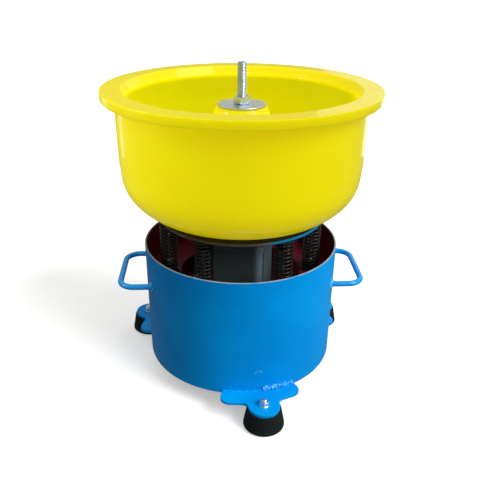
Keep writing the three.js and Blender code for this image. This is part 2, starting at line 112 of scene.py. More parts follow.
cameraSetup = {
    "distance": 0.8518,    # in front of the drum's axis
    "height": 0.5884,      # above the drum's lower edge
    "slope": 27.653,       # degrees below the horizon
    "roll": 0.508,
    "lens": 42.68,
    "shiftX": 0.0193,
    "shiftY": 0.0288,
}


def makeCamera(c):
    data = bpy.data.cameras.new("camera")
    data.lens = c["lens"]
    data.sensor_width = 36
    data.shift_x = c["shiftX"]
    data.shift_y = c["shiftY"]
    data.clip_start = 0.05
    data.clip_end = 100
    camera = bpy.data.objects.new("camera", data)
    scene.collection.objects.link(camera)
    place = Matrix.Translation((axisX, axisY - c["distance"], drumLow[2] + c["height"]))
    tilt = Matrix.Rotation(math.radians(90 - c["slope"]), 4, "X")
    roll = Matrix.Rotation(math.radians(c["roll"]), 4, "Z")
    camera.matrix_world = place @ tilt @ roll
    scene.camera = camera


makeCamera(cameraSetup)


# surfaces as numpy grids

def gridFaces(rows, columns, wrapRows=False, wrapColumns=True):
    i = np.arange(rows if wrapRows else rows - 1)[:, None]
    j = np.arange(columns if wrapColumns else columns - 1)[None, :]
    nextI = (i + 1) % rows
    nextJ = (j + 1) % columns
    quads = [i * columns + j, i * columns + nextJ, nextI * columns + nextJ, nextI * columns + j]
    return np.stack([q + 0 * (i + j) for q in quads], -1).reshape(-1, 4)


class Surfaces:
    # points and faces of one piece, gathered surface by surface
    def __init__(self):
        self.points = []
        self.faces = []
        self.count = 0

    def add(self, points, *faces):
        points = np.asarray(points, float).reshape(-1, 3)
        self.points.append(points)
        self.faces += [np.asarray(f) + self.count for f in faces]
        self.count += len(points)
        return self

    def move(self, change):
        self.points = [change(p) for p in self.points]
        return self


def makePiece(name, surfaces, finish, body, stands=(), slot=None, sharp=35):
    points = np.concatenate(surfaces.points).astype(np.float32)
    corners = np.concatenate([f.ravel() for f in surfaces.faces]).astype(np.int32)
    sizes = np.concatenate([np.full(len(f), f.shape[1]) for f in surfaces.faces])
    starts = np.concatenate([[0], np.cumsum(sizes)[:-1]]).astype(np.int32)
    mesh = bpy.data.meshes.new(name)
    mesh.vertices.add(len(points))
    mesh.vertices.foreach_set("co", points.ravel())
    mesh.loops.add(len(corners))
    mesh.loops.foreach_set("vertex_index", corners)
    mesh.polygons.add(len(starts))
    mesh.polygons.foreach_set("loop_start", starts)
    mesh.update(calc_edges=True)
    work = bmesh.new()
    work.from_mesh(mesh)
    bmesh.ops.remove_doubles(work, verts=work.verts, dist=2e-6)
    bmesh.ops.dissolve_degenerate(work, edges=work.edges, dist=1e-7)
    work.to_mesh(mesh)
    work.free()
    mesh.validate()
    mesh.shade_smooth()
    mesh.set_sharp_from_angle(angle=math.radians(sharp))
    mesh.materials.append(finish)
    piece = bpy.data.objects.new(name, mesh)
    scene.collection.objects.link(piece)
    weighted = piece.modifiers.new("flat faces stay flat", "WEIGHTED_NORMAL")
    weighted.keep_sharp = True
    if body:
        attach(piece, body)
    if stands:
        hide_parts(*stands)
    return piece


def atAngle(points, degrees):
    # outwards, along and up, turned to an angle about the drum's axis
    points = np.asarray(points, float)
    c, s = math.cos(math.radians(degrees)), math.sin(math.radians(degrees))
    x = axisX + points[..., 0] * c - points[..., 1] * s
    y = axisY + points[..., 0] * s + points[..., 1] * c
    return np.stack([x, y, points[..., 2]], -1)


def atTurn(points, degrees):
    c, s = math.cos(math.radians(degrees)), math.sin(math.radians(degrees))
    return np.stack([points[..., 0] * c - points[..., 1] * s, points[..., 0] * s + points[..., 1] * c,
                     points[..., 2]], -1)


def shifted(points, x=0, y=0, z=0):
    return np.asarray(points, float) + np.array([x, y, z])


def rounded(corners, closed=True, perArc=5):
    # each (x, y, radius) corner becomes the arc that touches both of its sides
    corners = [(*c, 0) if len(c) == 2 else c for c in corners]
    out = []
    for i, (x, y, radius) in enumerate(corners):
        atEnd = not closed and i in (0, len(corners) - 1)
        here = np.array([x, y], float)
        if radius == 0 or atEnd:
            out.append(here[None])
            continue
        back = np.array(corners[i - 1][:2]) - here
        ahead = np.array(corners[(i + 1) % len(corners)][:2]) - here
        back, ahead = back / np.linalg.norm(back), ahead / np.linalg.norm(ahead)
        half = math.acos(max(-1, min(1, float(back @ ahead)))) / 2
        centre = here + (back + ahead) / np.linalg.norm(back + ahead) * radius / math.sin(half)
        first = here + back * radius / math.tan(half) - centre
        last = here + ahead * radius / math.tan(half) - centre
        sweep = math.pi - 2 * half
        t = np.linspace(0, 1, perArc + 1)[:, None]
        swing = np.sin((1 - t) * sweep) * first + np.sin(t * sweep) * last
        out.append(centre + swing / math.sin(sweep))
    return np.concatenate(out)


def turned(profile, steps=128, closedProfile=True):
    # x = radius cos(angle), y = radius sin(angle), z = height, for each point of a profile of radius and
    # height, which runs anticlockwise so that faces point out
    angle = np.linspace(0, 2 * np.pi, steps, endpoint=False)
    radius = np.asarray(profile)[:, :1]
    height = np.asarray(profile)[:, 1:]
    points = np.stack([radius * np.cos(angle), radius * np.sin(angle), height + 0 * angle], -1)
    return Surfaces().add(points, gridFaces(len(profile), steps, wrapRows=closedProfile))


def onDrumAxis(points):
    return shifted(points, axisX, axisY)


def makeTurned(name, profile, steps, *about, place=onDrumAxis, closed=True, **more):
    # a profile turned about an upright axis and carried to its place
    makePiece(name, turned(profile, steps, closedProfile=closed).move(place), *about, **more)


def tube(path, radius, up=(0, 0, 1), sides=16, loop=False):
    # point = path + radius (cos(angle) side - sin(angle) over), where side and over are square to the path;
    # the radius may change along it, and open ends are domed by radius sin(t)
    path = np.asarray(path, float)
    radius = np.broadcast_to(radius, len(path)).astype(float)
    if loop:
        tangent = np.roll(path, -1, 0) - np.roll(path, 1, 0)
    else:
        tangent = np.gradient(path, axis=0)
        cap = np.sin(np.linspace(0, np.pi / 2, 5))[:-1]
        reach = np.cos(np.linspace(0, np.pi / 2, 5))[:-1]
        unit = tangent / np.linalg.norm(tangent, axis=1, keepdims=True)
        start = path[0] - unit[0] * (reach * radius[0] * 0.35)[:, None]
        end = (path[-1] + unit[-1] * (reach * radius[-1] * 0.35)[:, None])[::-1]
        path = np.concatenate([start, path, end])
        tangent = np.concatenate([np.repeat(unit[:1], 4, 0), unit, np.repeat(unit[-1:], 4, 0)])
        radius = np.concatenate([cap * radius[0], radius, (cap * radius[-1])[::-1]])
    tangent = tangent / np.linalg.norm(tangent, axis=1, keepdims=True)
    side = np.cross(tangent, np.array(up, float))
    side /= np.linalg.norm(side, axis=1, keepdims=True)
    over = np.cross(side, tangent)
    angle = np.linspace(0, 2 * np.pi, sides, endpoint=False)[None, :, None]
    ring = np.cos(angle) * side[:, None] - np.sin(angle) * over[:, None]
    points = path[:, None] + radius[:, None, None] * ring
    return Surfaces().add(points, gridFaces(len(path), sides, wrapRows=loop))


def inset(loop, amount):
    # a closed outline moved towards its material by the same amount all round
    before = loop - np.roll(loop, 1, 0)
    after = np.roll(loop, -1, 0) - loop
    before = before / np.linalg.norm(before, axis=1, keepdims=True)
    after = after / np.linalg.norm(after, axis=1, keepdims=True)
    out = np.stack([before[:, 1] + after[:, 1], -before[:, 0] - after[:, 0]], -1)
    length = np.linalg.norm(out, axis=1, keepdims=True)
    return loop - out / length * amount / np.maximum(length / 2, 0.3)


def insideLoop(points, loop):
    # crossing count of a ray against a closed outline
    x, y = points[:, 0][:, None], points[:, 1][:, None]
    x0, y0 = loop[:, 0][None], loop[:, 1][None]
    x1, y1 = np.roll(loop[:, 0], -1)[None], np.roll(loop[:, 1], -1)[None]
    crosses = (y0 > y) != (y1 > y)
    at = x0 + (y - y0) * (x1 - x0) / np.where(y1 == y0, 1, y1 - y0)
    return (crosses & (x < at)).sum(1) % 2 == 1


def capTriangles(loops):
    # flat triangles between an outline and its holes
    points = np.concatenate(loops)
    edges, start = [], 0
    for loop in loops:
        n = len(loop)
        edges += [(start + k, start + (k + 1) % n) for k in range(n)]
        start += n
    made = delaunay_2d_cdt([Vector(p) for p in points], edges, [], 1, 1e-9)
    source = np.array([o[0] for o in made[3]])
    flat = np.array([v[:] for v in made[0]])
    faces = np.array([f for f in made[2] if len(f) == 3])
    middle = flat[faces].mean(1)
    keep = insideLoop(middle, loops[0])
    for hole in loops[1:]:
        keep &= ~insideLoop(middle, hole)
    return source[faces[keep]]


def plate(outline, holes, bottom, top, bevel, steps=3):
    # an anticlockwise outline and clockwise holes carried up, drawn in by bevel (1 - sin(t)) while they rise
    # by bevel (1 - cos(t)) at both faces
    t = np.linspace(0, np.pi / 2, steps + 1)
    drawIn = bevel * (1 - np.sin(t))
    rise = bevel * (1 - np.cos(t))
    insets = np.concatenate([drawIn, drawIn[::-1]])
    heights = np.concatenate([bottom + rise, top - rise[::-1]])
    out = Surfaces()
    for loop in [outline, *holes]:
        level = np.ones(len(loop))
        rings = [np.column_stack([inset(loop, a), h * level]) for a, h in zip(insets, heights)]
        out.add(np.stack(rings), gridFaces(len(rings), len(loop)))
    faceLoops = [inset(loop, bevel) for loop in [outline, *holes]]
    triangles = capTriangles(faceLoops)
    flat = np.concatenate(faceLoops)
    out.add(np.column_stack([flat, np.full(len(flat), top)]), triangles)
    out.add(np.column_stack([flat, np.full(len(flat), bottom)]), triangles[:, ::-1])
    return out


def arc(centreX, centreY, radius, start, end, count=12):
    # centre + radius (cos(t), sin(t)) from start to end
    t = np.linspace(start, end, count)
    return np.column_stack([centreX + radius * np.cos(t), centreY + radius * np.sin(t)])


def circleHole(radius, x=0, y=0, count=32):
    # a circle run clockwise, as a hole's outline is
    t = np.linspace(0, -2 * np.pi, count, endpoint=False)
    return np.column_stack([x + radius * np.cos(t), y + radius * np.sin(t)])


def roundedSquare(width, corner, perCorner=8):
    # a quarter circle at each corner, anticlockwise
    half = width / 2 - corner
    places = ((half, half, 0), (-half, half, 1), (-half, -half, 2), (half, -half, 3))
    quarter = math.pi / 2
    turns = [(x, y, k * quarter) for x, y, k in places]
    return np.concatenate([arc(x, y, corner, t, t + quarter, perCorner) for x, y, t in turns])


def hexNut(flats, height, bore):
    # a hexagon whose corners are cut by a 30 degree cone at both faces, with a countersunk bore
    steps = 96
    angle = np.linspace(0, 2 * np.pi, steps, endpoint=False)[None]
    hexRadius = flats / 2 / np.cos((angle + np.pi / 6) % (np.pi / 3) - np.pi / 6)
    share = [np.linspace(0, 0.22, 9), np.linspace(0.22, 0.78, 3)[1:-1], np.linspace(0.78, 1, 9)]
    h = np.concatenate(share)[:, None] * height
    coneFoot = flats * 0.475
    cone = coneFoot + np.minimum(h, height - h) * math.tan(math.radians(60))
    outer = np.minimum(hexRadius, cone)
    sink = bore * 0.13
    radius = [outer, np.full((1, steps), bore + sink), np.full((1, steps), bore),
              np.full((1, steps), bore), np.full((1, steps), bore + sink)]
    levels = [h, [[height]], [[height - sink]], [[sink]], [[0]]]
    radius = np.concatenate(radius)
    level = np.concatenate([np.asarray(x, float) for x in levels])
    points = np.stack([radius * np.cos(angle), radius * np.sin(angle), level + 0 * angle], -1)
    return Surfaces().add(points, gridFaces(len(points), steps, wrapRows=True))


def threadedRod(radius, pitch, depth, bottom, top, threadFrom, steps=48):
    # a helix of 60 degree teeth: radius less depth times a triangle wave of height and angle
    rows = int((top - threadFrom) / pitch * 12)
    z = np.concatenate([[bottom], np.linspace(threadFrom, top, rows)])[:, None]
    angle = np.linspace(0, 2 * np.pi, steps, endpoint=False)[None]
    phase = (z / pitch - angle / (2 * np.pi)) % 1
    tooth = np.clip(2.5 * np.abs(phase - 0.5) - 0.12, 0, 1)
    fade = np.clip((top - z) / (0.8 * pitch), 0, 1)
    r = radius - depth * tooth * (z >= threadFrom) - depth * 0.9 * (1 - fade)
    points = np.stack([r * np.cos(angle), r * np.sin(angle), z + 0 * angle], -1)
    ends = np.zeros((1, steps, 3))
    points = np.concatenate([ends + [0, 0, bottom], points, ends + [0, 0, top]])
    return Surfaces().add(points, gridFaces(len(points), steps))


def roughened(surfaces, amount, size, seed):
    # pushes each point by a sum of sines of its place, as a hand-laid weld is uneven
    draw = np.random.default_rng(seed)
    waves = draw.normal(size=(7, 3)) / size
    turns = draw.uniform(0, 2 * np.pi, 7)

    def push(points):
        flow = np.sin(points.reshape(-1, 3) @ waves.T + turns)
        offset = np.stack([flow[:, :3].sum(1), flow[:, 2:5].sum(1), flow[:, 4:].sum(1)], -1)
        return points + amount * offset.reshape(points.shape) / 3

    return surfaces.move(push)


# shader maths

class Shade:
    # one socket; an operator on it adds one Math node
    def __init__(self, tree, socket):
        self.tree = tree
        self.socket = socket

    def math(self, operation, *values):
        inputs = dict(enumerate(values))
        return addNode(self.tree, "ShaderNodeMath", {"operation": operation}, inputs)

    def __add__(self, other): return self.math("ADD", self, other)
    def __radd__(self, other): return self.math("ADD", other, self)
    def __sub__(self, other): return self.math("SUBTRACT", self, other)
    def __rsub__(self, other): return self.math("SUBTRACT", other, self)
    def __mul__(self, other): return self.math("MULTIPLY", self, other)
    def __rmul__(self, other): return self.math("MULTIPLY", other, self)
    def __truediv__(self, other): return self.math("DIVIDE", self, other)
    def __rtruediv__(self, other): return self.math("DIVIDE", other, self)
    def __pow__(self, other): return self.math("POWER", self, other)

    def over(self, edge):
        return self.math("GREATER_THAN", self, edge)

    def band(self, low, high):
        # rises from 0 to 1 between low and high
        inputs = {"Value": self, "From Min": low, "From Max": high}
        return addNode(self.tree, "ShaderNodeMapRange", {"interpolation_type": "SMOOTHSTEP"}, inputs)


def addNode(tree, kind, settings=None, inputs=None, output=0):
    made = tree.nodes.new(kind)
    for key, value in (settings or {}).items():
        if key == "stops":
            ramp = made.color_ramp
            while len(ramp.elements) < len(value):
                ramp.elements.new(0.5)
            for element, (place, colour) in zip(ramp.elements, value):
                element.position = place
                element.color = (*colour, 1)
        else:
            setattr(made, key, value)
    for key, value in (inputs or {}).items():
        if isinstance(value, Shade):
            tree.links.new(value.socket, made.inputs[key])
        else:
            made.inputs[key].default_value = value
    return Shade(tree, made.outputs[output])


class Finish:
    # one material: object coordinates in, a Principled shader out
    def __init__(self, name, **fixed):
        self.material = bpy.data.materials.new(name)
        self.material.use_nodes = True
        self.tree = self.material.node_tree
        self.shader = self.tree.nodes["Principled BSDF"]
        for key, value in fixed.items():
            self.shader.inputs[key].default_value = value
        self.place = self.add("ShaderNodeTexCoord", output=3)
        apart = self.tree.nodes.new("ShaderNodeSeparateXYZ")
        self.tree.links.new(self.place.socket, apart.inputs[0])
        self.x, self.y, self.z = [Shade(self.tree, s) for s in apart.outputs]

    def add(self, kind, settings=None, inputs=None, output=0):
        return addNode(self.tree, kind, settings, inputs, output)

    def noise(self, scale, detail=3, rough=0.5, stretch=None):
        place = self.place
        if stretch:
            place = self.add("ShaderNodeMapping", None, {"Vector": place, "Scale": stretch})
        return self.add("ShaderNodeTexNoise", None,
                        {"Vector": place, "Scale": scale, "Detail": detail, "Roughness": rough})

    def mix(self, factor, first, second):
        def colour(c):
            return c if isinstance(c, Shade) else (*c, 1)
        return self.add("ShaderNodeMix", {"data_type": "RGBA"},
                        {"Factor": factor, "A": colour(first), "B": colour(second)}, output="Result")

    def bump(self, height, distance, strength=1.0, after=None):
        inputs = {"Height": height, "Distance": distance, "Strength": strength}
        if after is not None:
            inputs["Normal"] = after
        return self.add("ShaderNodeBump", None, inputs)

    def radius(self):
        # distance from the drum's axis
        dx = self.x - axisX
        dy = self.y - axisY
        return (dx * dx + dy * dy) ** 0.5

    def feed(self, **fields):
        names = {"colour": "Base Color", "roughness": "Roughness", "metallic": "Metallic",
                 "coat": "Coat Weight", "normal": "Normal"}
        for key, value in fields.items():
            self.tree.links.new(value.socket, self.shader.inputs[names[key]])
        return self.material


# materials

bowlShape = {
    "wallRadius": 0.1783,  # outside, under the flange
    "draft": 0.0021,
    "wall": 0.010,
    "filletUp": 0.067,
    "rimThickness": 0.013,
    "rimRound": 0.003,     # under the flange's outer edge
    "rimEdge": 0.0009,
    "underRimRound": 0.004,
    "mouthRound": 0.0016,
    "lipInset": 0.0065,    # how far the lip stands in from the wall, inside
    "lipDepth": 0.013,
    "lipBlend": 0.035,
    "coneTopRadius": 0.036,
    "coneTopBelowRim": 0.0278,
    "coneRound": 0.0015,
    "collarFlare": 0.004,  # how much the cone widens down its collar
    "collarDepth": 0.008,
    "coneSlope": 13.2,     # degrees from upright, below the collar
    "coneFillet": 0.018,
    "floorLand": 0.0011,
    "capThickness": 0.012,
    "boreClearance": 0.001,
    "steps": 240,
}
bowlLook = {
    "yellow": (0.95, 0.82, 0.0),
    "deepYellow": (0.90, 0.76, 0.0),
    "rimShadeYellow": (0.78, 0.65, 0.0),
    "paintedGlow": 0.29,          # painted glow: emission that stands in for light come through from inside
    # the inside's yellows are painted shade: darker, greener copies of the yellow for the hollow
    "shadedInsideYellow": (0.54, 0.56, 0.0),
    "insideShade": (0.49, 0.515, 0.01),
    "gloss": 0.24,
    "depth": 0.040,        # how far light travels in the casting
}


def polyurethane(p):
    # the emission is a painted glow, standing in for light that has come through from inside
    f = Finish("polyurethane", **{
        "Subsurface Weight": 0.85, "Subsurface Radius": (1.0, 0.95, 0.03), "Subsurface Scale": p["depth"],
        "Coat Roughness": 0.05, "IOR": 1.48, "Specular IOR Level": 0.14, "Specular Tint": (1, 0.95, 0.4, 1),
        "Emission Color": (0.95, 0.76, 0, 1), "Emission Strength": p["paintedGlow"]})
    cloud = f.noise(7, 3, 0.55)
    smear = f.noise(16, 4, 0.6, stretch=(1, 1, 0.25))
    outside = f.mix(cloud.band(0.35, 0.7), p["yellow"], p["deepYellow"])
    # the flange's side is painted darker: painted shade, with some deeper colour of the thicker casting
    rim = f.z.band(bowlHigh[2] - bowlShape["rimThickness"], bowlHigh[2] - 0.004)
    outside = f.mix(rim * 0.7, outside, p["rimShadeYellow"])
    # the inside takes the painted-shade yellows
    shadedInside = f.mix(cloud.band(0.3, 0.7), p["shadedInsideYellow"], p["insideShade"])
    middle = bowlShape["wallRadius"] - bowlShape["wall"] / 2
    mouth = f.radius().band(middle - 0.003, middle) + f.z.band(bowlHigh[2] - 0.019, bowlHigh[2] - 0.013)
    under = 1 - f.z.band(bowlLow[2] + 0.004, bowlLow[2] + 0.008)
    wallSide = (f.z - bowlLow[2] - bowlShape["filletUp"]) / bowlShape["filletUp"]
    curve = (f.radius() - 0.088) / (bowlShape["wallRadius"] - 0.093)
    below = (wallSide.math("MINIMUM", wallSide, 0) ** 2 + curve * curve).over(1)
    cone = 1 - f.radius().band(0.06, 0.10)
    skin = mouth + under + below + cone
    skin = skin.math("MINIMUM", skin, 1)
    colour = f.mix(skin, shadedInside, outside)
    rough = p["gloss"] + smear * 0.16
    ripple = f.bump(f.noise(28, 2, 0.4), 0.0006, 0.35)
    normal = f.bump(f.noise(420, 2, 0.5), 0.00008, 0.25, ripple)
    return f.feed(colour=colour, roughness=rough, coat=0.25 + smear * 0.3, normal=normal)


paintLook = {
    "blue": (0.0, 0.33, 0.84),
    "deepBlue": (0.0, 0.265, 0.73),
    "primer": (0.19, 0.009, 0.028),
    "primerDust": (0.26, 0.05, 0.06),
    # the lugs' blue is painted lighter than the drum's: painted light on their upward faces
    "litLugBlue": (0.0, 0.39, 0.90),
    # pale blue: real wear in the drum's scuff, painted reflections on the handles and painted glints on the
    # welds
    "paleWearAndSheen": (0.20, 0.70, 1.0),
    "bareEdge": (0.36, 0.37, 0.39),
    "orangePeel": 0.00012,
}


def paintedSurface(f, p):
    patch = f.noise(9, 4, 0.6)
    fine = f.noise(160, 3, 0.6)
    colour = f.mix(patch.band(0.3, 0.75), p["blue"], p["deepBlue"])
    rough = 0.30 + patch * 0.14 + fine * 0.06
    peel = f.bump(f.noise(330, 2, 0.5), p["orangePeel"], 0.35)
    return colour, rough, peel


def bluePaint(name, p):
    f = Finish(name, **{"Coat Roughness": 0.15, "IOR": 1.45, "Specular IOR Level": 0.22,
                        "Specular Tint": (0.1, 0.6, 1, 1)})
    colour, rough, peel = paintedSurface(f, p)
    chip = f.noise(70, 5, 0.7).band(0.72, 0.76)
    colour = f.mix(chip * 0.5, colour, p["deepBlue"])
    return f.feed(colour=colour, roughness=rough, coat=rough * 0.12, normal=peel)


def handlePaint(p):
    # the same paint, rubbed smooth by hands, with pale patches that are painted reflections
    f = Finish("handle paint", **{"Coat Weight": 0.6, "Coat Roughness": 0.05, "IOR": 1.45,
                                  "Specular IOR Level": 0.25, "Specular Tint": (0.1, 0.6, 1, 1)})
    colour, rough, peel = paintedSurface(f, p)
    colour = f.mix(f.noise(35, 4, 0.6).band(0.4, 0.75) * 0.12, colour, p["paleWearAndSheen"])
    return f.feed(colour=colour, roughness=rough - 0.12, normal=peel)


def weldPaint(p):
    # paint lying over rough weld metal, with painted glints on the high spots
    f = Finish("painted weld", **{"IOR": 1.45, "Specular IOR Level": 0.3, "Specular Tint": (0.2, 0.7, 1, 1)})
    colour, rough, peel = paintedSurface(f, p)
    glintSpots = f.noise(330, 3, 0.6)
    colour = f.mix(glintSpots.band(0.40, 0.58) * 0.9, colour, p["paleWearAndSheen"])
    return f.feed(colour=colour, roughness=rough - 0.08, normal=f.bump(glintSpots, 0.0005, 0.5, peel))


def primerColour(f, p):
    cloud = f.noise(11, 4, 0.65)
    speck = f.noise(120, 4, 0.7).band(0.55, 0.8)
    colour = f.mix(cloud.band(0.3, 0.8) * 0.35, p["primer"], p["primerDust"])
    return f.mix(speck * 0.25, colour, p["primerDust"])


def redPrimer(p):
    f = Finish("red primer", **{"IOR": 1.45, "Specular IOR Level": 0.3})
    rough = 0.42 + f.noise(40, 3, 0.6) * 0.2
    grain = f.bump(f.noise(260, 3, 0.6), 0.0002, 0.4)
    return f.feed(colour=primerColour(f, p), roughness=rough, normal=grain)


drumLook = {
    "wall": 0.003,
    "edgeRound": 0.0011,
    "scuffRadius": 0.0048,
    "scuffAngle": -79.0,   # degrees about the drum's axis, over the front lug
    "scuffHeight": 0.036,  # above the drum's lower edge
}


def drumPaint(p, d):
    f = Finish("drum paint", **{"Coat Roughness": 0.15, "IOR": 1.45, "Specular IOR Level": 0.15,
                                "Specular Tint": (0.1, 0.6, 1, 1)})
    colour, rough, peel = paintedSurface(f, p)
    inner = 1 - f.radius().over(drumRadius - d["wall"] * 0.62)
    edge = f.z.band(drumHigh[2] - 0.0009, drumHigh[2] - 0.0003)
    worn = edge * f.noise(55, 4, 0.7).band(0.25, 0.55)
    # a small arch rubbed into the paint above the front lug
    angle = math.radians(d["scuffAngle"])
    along = (f.x - axisX) * -math.sin(angle) + (f.y - axisY) * math.cos(angle)
    up = f.z - (drumLow[2] + d["scuffHeight"])
    near = (along * along + up * up) ** 0.5
    ring = 1 - (near - d["scuffRadius"]).math("ABSOLUTE", near - d["scuffRadius"]).band(0.0004, 0.0016)
    front = (0 - f.y).over(drumRadius * 0.8)
    scuff = ring * up.band(-0.002, 0.001) * front * f.noise(300, 3, 0.6).band(0.3, 0.6)
    colour = f.mix(scuff * 0.35, colour, p["paleWearAndSheen"])
    colour = f.mix(inner, colour, primerColour(f, p))
    colour = f.mix(worn, colour, p["bareEdge"])
    coat = (1 - inner) * 0.04
    return f.feed(colour=colour, roughness=rough + inner * 0.12, coat=coat, normal=peel)


plateLook = {
    "top": (0.006, 0.005, 0.005),
    "dust": (0.014, 0.011, 0.010),
    "edge": (0.13, 0.11, 0.105),
    # a painted reflection of the blue drum on one side of the edge
    "paintedBlueReflection": (0.0, 0.30, 0.66),
    "reflectionFrom": 0.025,  # right of the drum's axis
    "reflectionTo": 0.055,
}


def platePaint(p):
    # dull black, grey round its edge, partly worn and partly a painted highlight, with a painted blue
    # reflection of the drum on one side of the edge
    f = Finish("plate paint", **{"IOR": 1.45, "Specular IOR Level": 0.12})
    patch = f.noise(24, 4, 0.6)
    colour = f.mix(patch.band(0.3, 0.8), p["top"], p["dust"])
    outer = radiusOf("carrier_plate")
    edge = f.radius().band(outer - 0.0014, outer - 0.0005)
    # the side of the edge that takes the painted blue reflection
    side = (f.x - axisX + f.noise(40, 4, 0.6) * 0.02 - 0.01).band(p["reflectionFrom"], p["reflectionTo"])
    worn = f.noise(90, 4, 0.7).band(0.25, 0.6) * 0.5 + 0.5
    colour = f.mix(edge * worn, colour, f.mix(side, p["edge"], p["paintedBlueReflection"]))
    grain = f.bump(f.noise(240, 3, 0.6), 0.0001, 0.3)
    return f.feed(colour=colour, roughness=0.45 + patch * 0.2, normal=grain)


# finishes of two shades; each noise is its scale, detail and roughness, and rough is what the surface has
# everywhere, what the patches add and what the grain adds
plainLooks = {
    "dark paint": {
        "fixed": {"IOR": 1.5, "Specular IOR Level": 0.4},
        "patch": (24, 4, 0.6),
        "grain": (240, 3, 0.6),
        "shades": ((0.008, 0.007, 0.007), (0.020, 0.016, 0.014)),
        "blend": (0.3, 0.8),
        "rough": (0.14, 0.2, 0),
        "bump": (0.0001, 0.3),
    },
    "zinc plate": {
        "fixed": {"Metallic": 1.0},
        "patch": (60, 4, 0.6),
        "grain": (300, 4, 0.7),
        "shades": ((0.72, 0.79, 0.90), (0.60, 0.66, 0.75)),
        "blend": (0.3, 0.75),
        "rough": (0.15, 0.14, 0.12),
        "bump": (0.00006, 0.25),
    },
    "black spring enamel": {
        "fixed": {"Coat Weight": 0.06, "Coat Roughness": 0.04, "IOR": 1.45, "Specular IOR Level": 0.28},
        "patch": (140, 3, 0.6),
        "grain": (140, 3, 0.6),
        "shades": ((0.004, 0.004, 0.004), (0.010, 0.010, 0.010)),
        "blend": (0.35, 0.75),
        "rough": (0.12, 0.12, 0),
        "bump": (0.0001, 0.4),
    },
    "black rubber": {
        "fixed": {"IOR": 1.42, "Specular IOR Level": 0.3},
        "patch": (35, 5, 0.7),
        "grain": (700, 3, 0.7),
        "shades": ((0.004, 0.008, 0.008), (0.03, 0.035, 0.034)),
        "blend": (0.5, 0.85),
        "share": 0.3,      # the second shade is dust, which never covers the first
        "rough": (0.62, 0.25, 0),
        "bump": (0.0002, 0.5),
    },
    "cast iron": {
        "fixed": {"Metallic": 0.7},
        "patch": (45, 5, 0.7),
        "grain": (220, 5, 0.7),
        "shades": ((0.07, 0.07, 0.075), (0.035, 0.03, 0.028)),
        "blend": (0.3, 0.75),
        "rough": (0.5, 0.25, 0),
        "bump": (0.0004, 0.7),
    },
}


def plainFinish(name):
    look = plainLooks[name]
    f = Finish(name, **look["fixed"])
    patch, grain = f.noise(*look["patch"]), f.noise(*look["grain"])
    everywhere, byPatch, byGrain = look["rough"]
    rough = everywhere + patch * byPatch + grain * byGrain
    colour = f.mix(patch.band(*look["blend"]) * look.get("share", 1), *look["shades"])
    return f.feed(colour=colour, roughness=rough, normal=f.bump(grain, *look["bump"]))


motorLook = {
    "paint": (0.060, 0.090, 0.094),
    "dust": (0.078, 0.112, 0.118),
    # pale blue-grey for the round corners, a painted highlight
    "paleWearAndSheen": (0.17, 0.25, 0.31),
    "cornerFrom": 0.0335,  # out from the motor's axis, both ways
    "cornerTo": 0.0365,
}


def motorPaint(p):
    f = Finish("motor paint", **{"IOR": 1.45})
    patch = f.noise(18, 4, 0.6)
    colour = f.mix(patch.band(0.3, 0.75), p["paint"], p["dust"])
    # the body's round corners are painted pale: a painted highlight
    turn = math.radians(motorTurn)
    along = (f.x - axisX) * math.cos(turn) + (f.y - axisY) * math.sin(turn)
    across = (f.y - axisY) * math.cos(turn) - (f.x - axisX) * math.sin(turn)
    along = along.math("ABSOLUTE", along)
    across = across.math("ABSOLUTE", across)
    corner = along.math("MINIMUM", along, across).band(p["cornerFrom"], p["cornerTo"])
    colour = f.mix(corner * 0.35, colour, p["paleWearAndSheen"])
    grain = f.noise(520, 3, 0.65)
    rough = 0.36 + patch * 0.12 + grain * 0.08
    return f.feed(colour=colour, roughness=rough, normal=f.bump(grain, 0.00015, 0.5))


def brightSteel():
    f = Finish("bright steel", **{"Metallic": 1.0})
    lines = f.noise(900, 2, 0.5, stretch=(0.04, 0.04, 1))
    colour = f.mix(lines, (0.55, 0.56, 0.58), (0.40, 0.41, 0.42))
    return f.feed(colour=colour, roughness=0.18 + lines * 0.2, normal=f.bump(lines, 0.00003, 0.5))


statorLook = {
    "wireHeight": 0.0071,  # of each ring of wire
    "join": 0.0004,
    "copper": (0.50, 0.16, 0.05),
    "darkCopper": (0.22, 0.05, 0.015),
    "sheet": (0.20, 0.20, 0.21),
    "seam": (0.10, 0.10, 0.11),
}


def windings(p):
    # stacked laminations between two rings of enamelled wire
    low, high = boxOf("stator")
    f = Finish("stator windings", **{"IOR": 1.5})
    stackLow, stackHigh = low[2] + p["wireHeight"], high[2] - p["wireHeight"]
    stack = f.z.band(stackLow, stackLow + p["join"]) * (1 - f.z.band(stackHigh - p["join"], stackHigh))
    sheets = f.add("ShaderNodeTexWave", {"bands_direction": "Z"}, {"Vector": f.place, "Scale": 260})
    strands = f.noise(240, 3, 0.6, stretch=(1, 1, 4))
    wire = f.mix(strands, p["copper"], p["darkCopper"])
    steel = f.mix(sheets, p["sheet"], p["seam"])
    height = strands * (1 - stack) + sheets * stack * 0.3
    return f.feed(colour=f.mix(stack, wire, steel), roughness=0.3 + strands * 0.2, metallic=stack * 0.8,
                  normal=f.bump(height, 0.0006, 0.8))


def blackPlastic():
    f = Finish("black plastic", **{"IOR": 1.46})
    grain = f.noise(600, 3, 0.6)
    colour = f.mix(f.noise(30, 3, 0.6), (0.012, 0.012, 0.013), (0.022, 0.022, 0.023))
    return f.feed(colour=colour, roughness=0.42 + grain * 0.15, normal=f.bump(grain, 0.0001, 0.5))


bowlFinish = polyurethane(bowlLook)
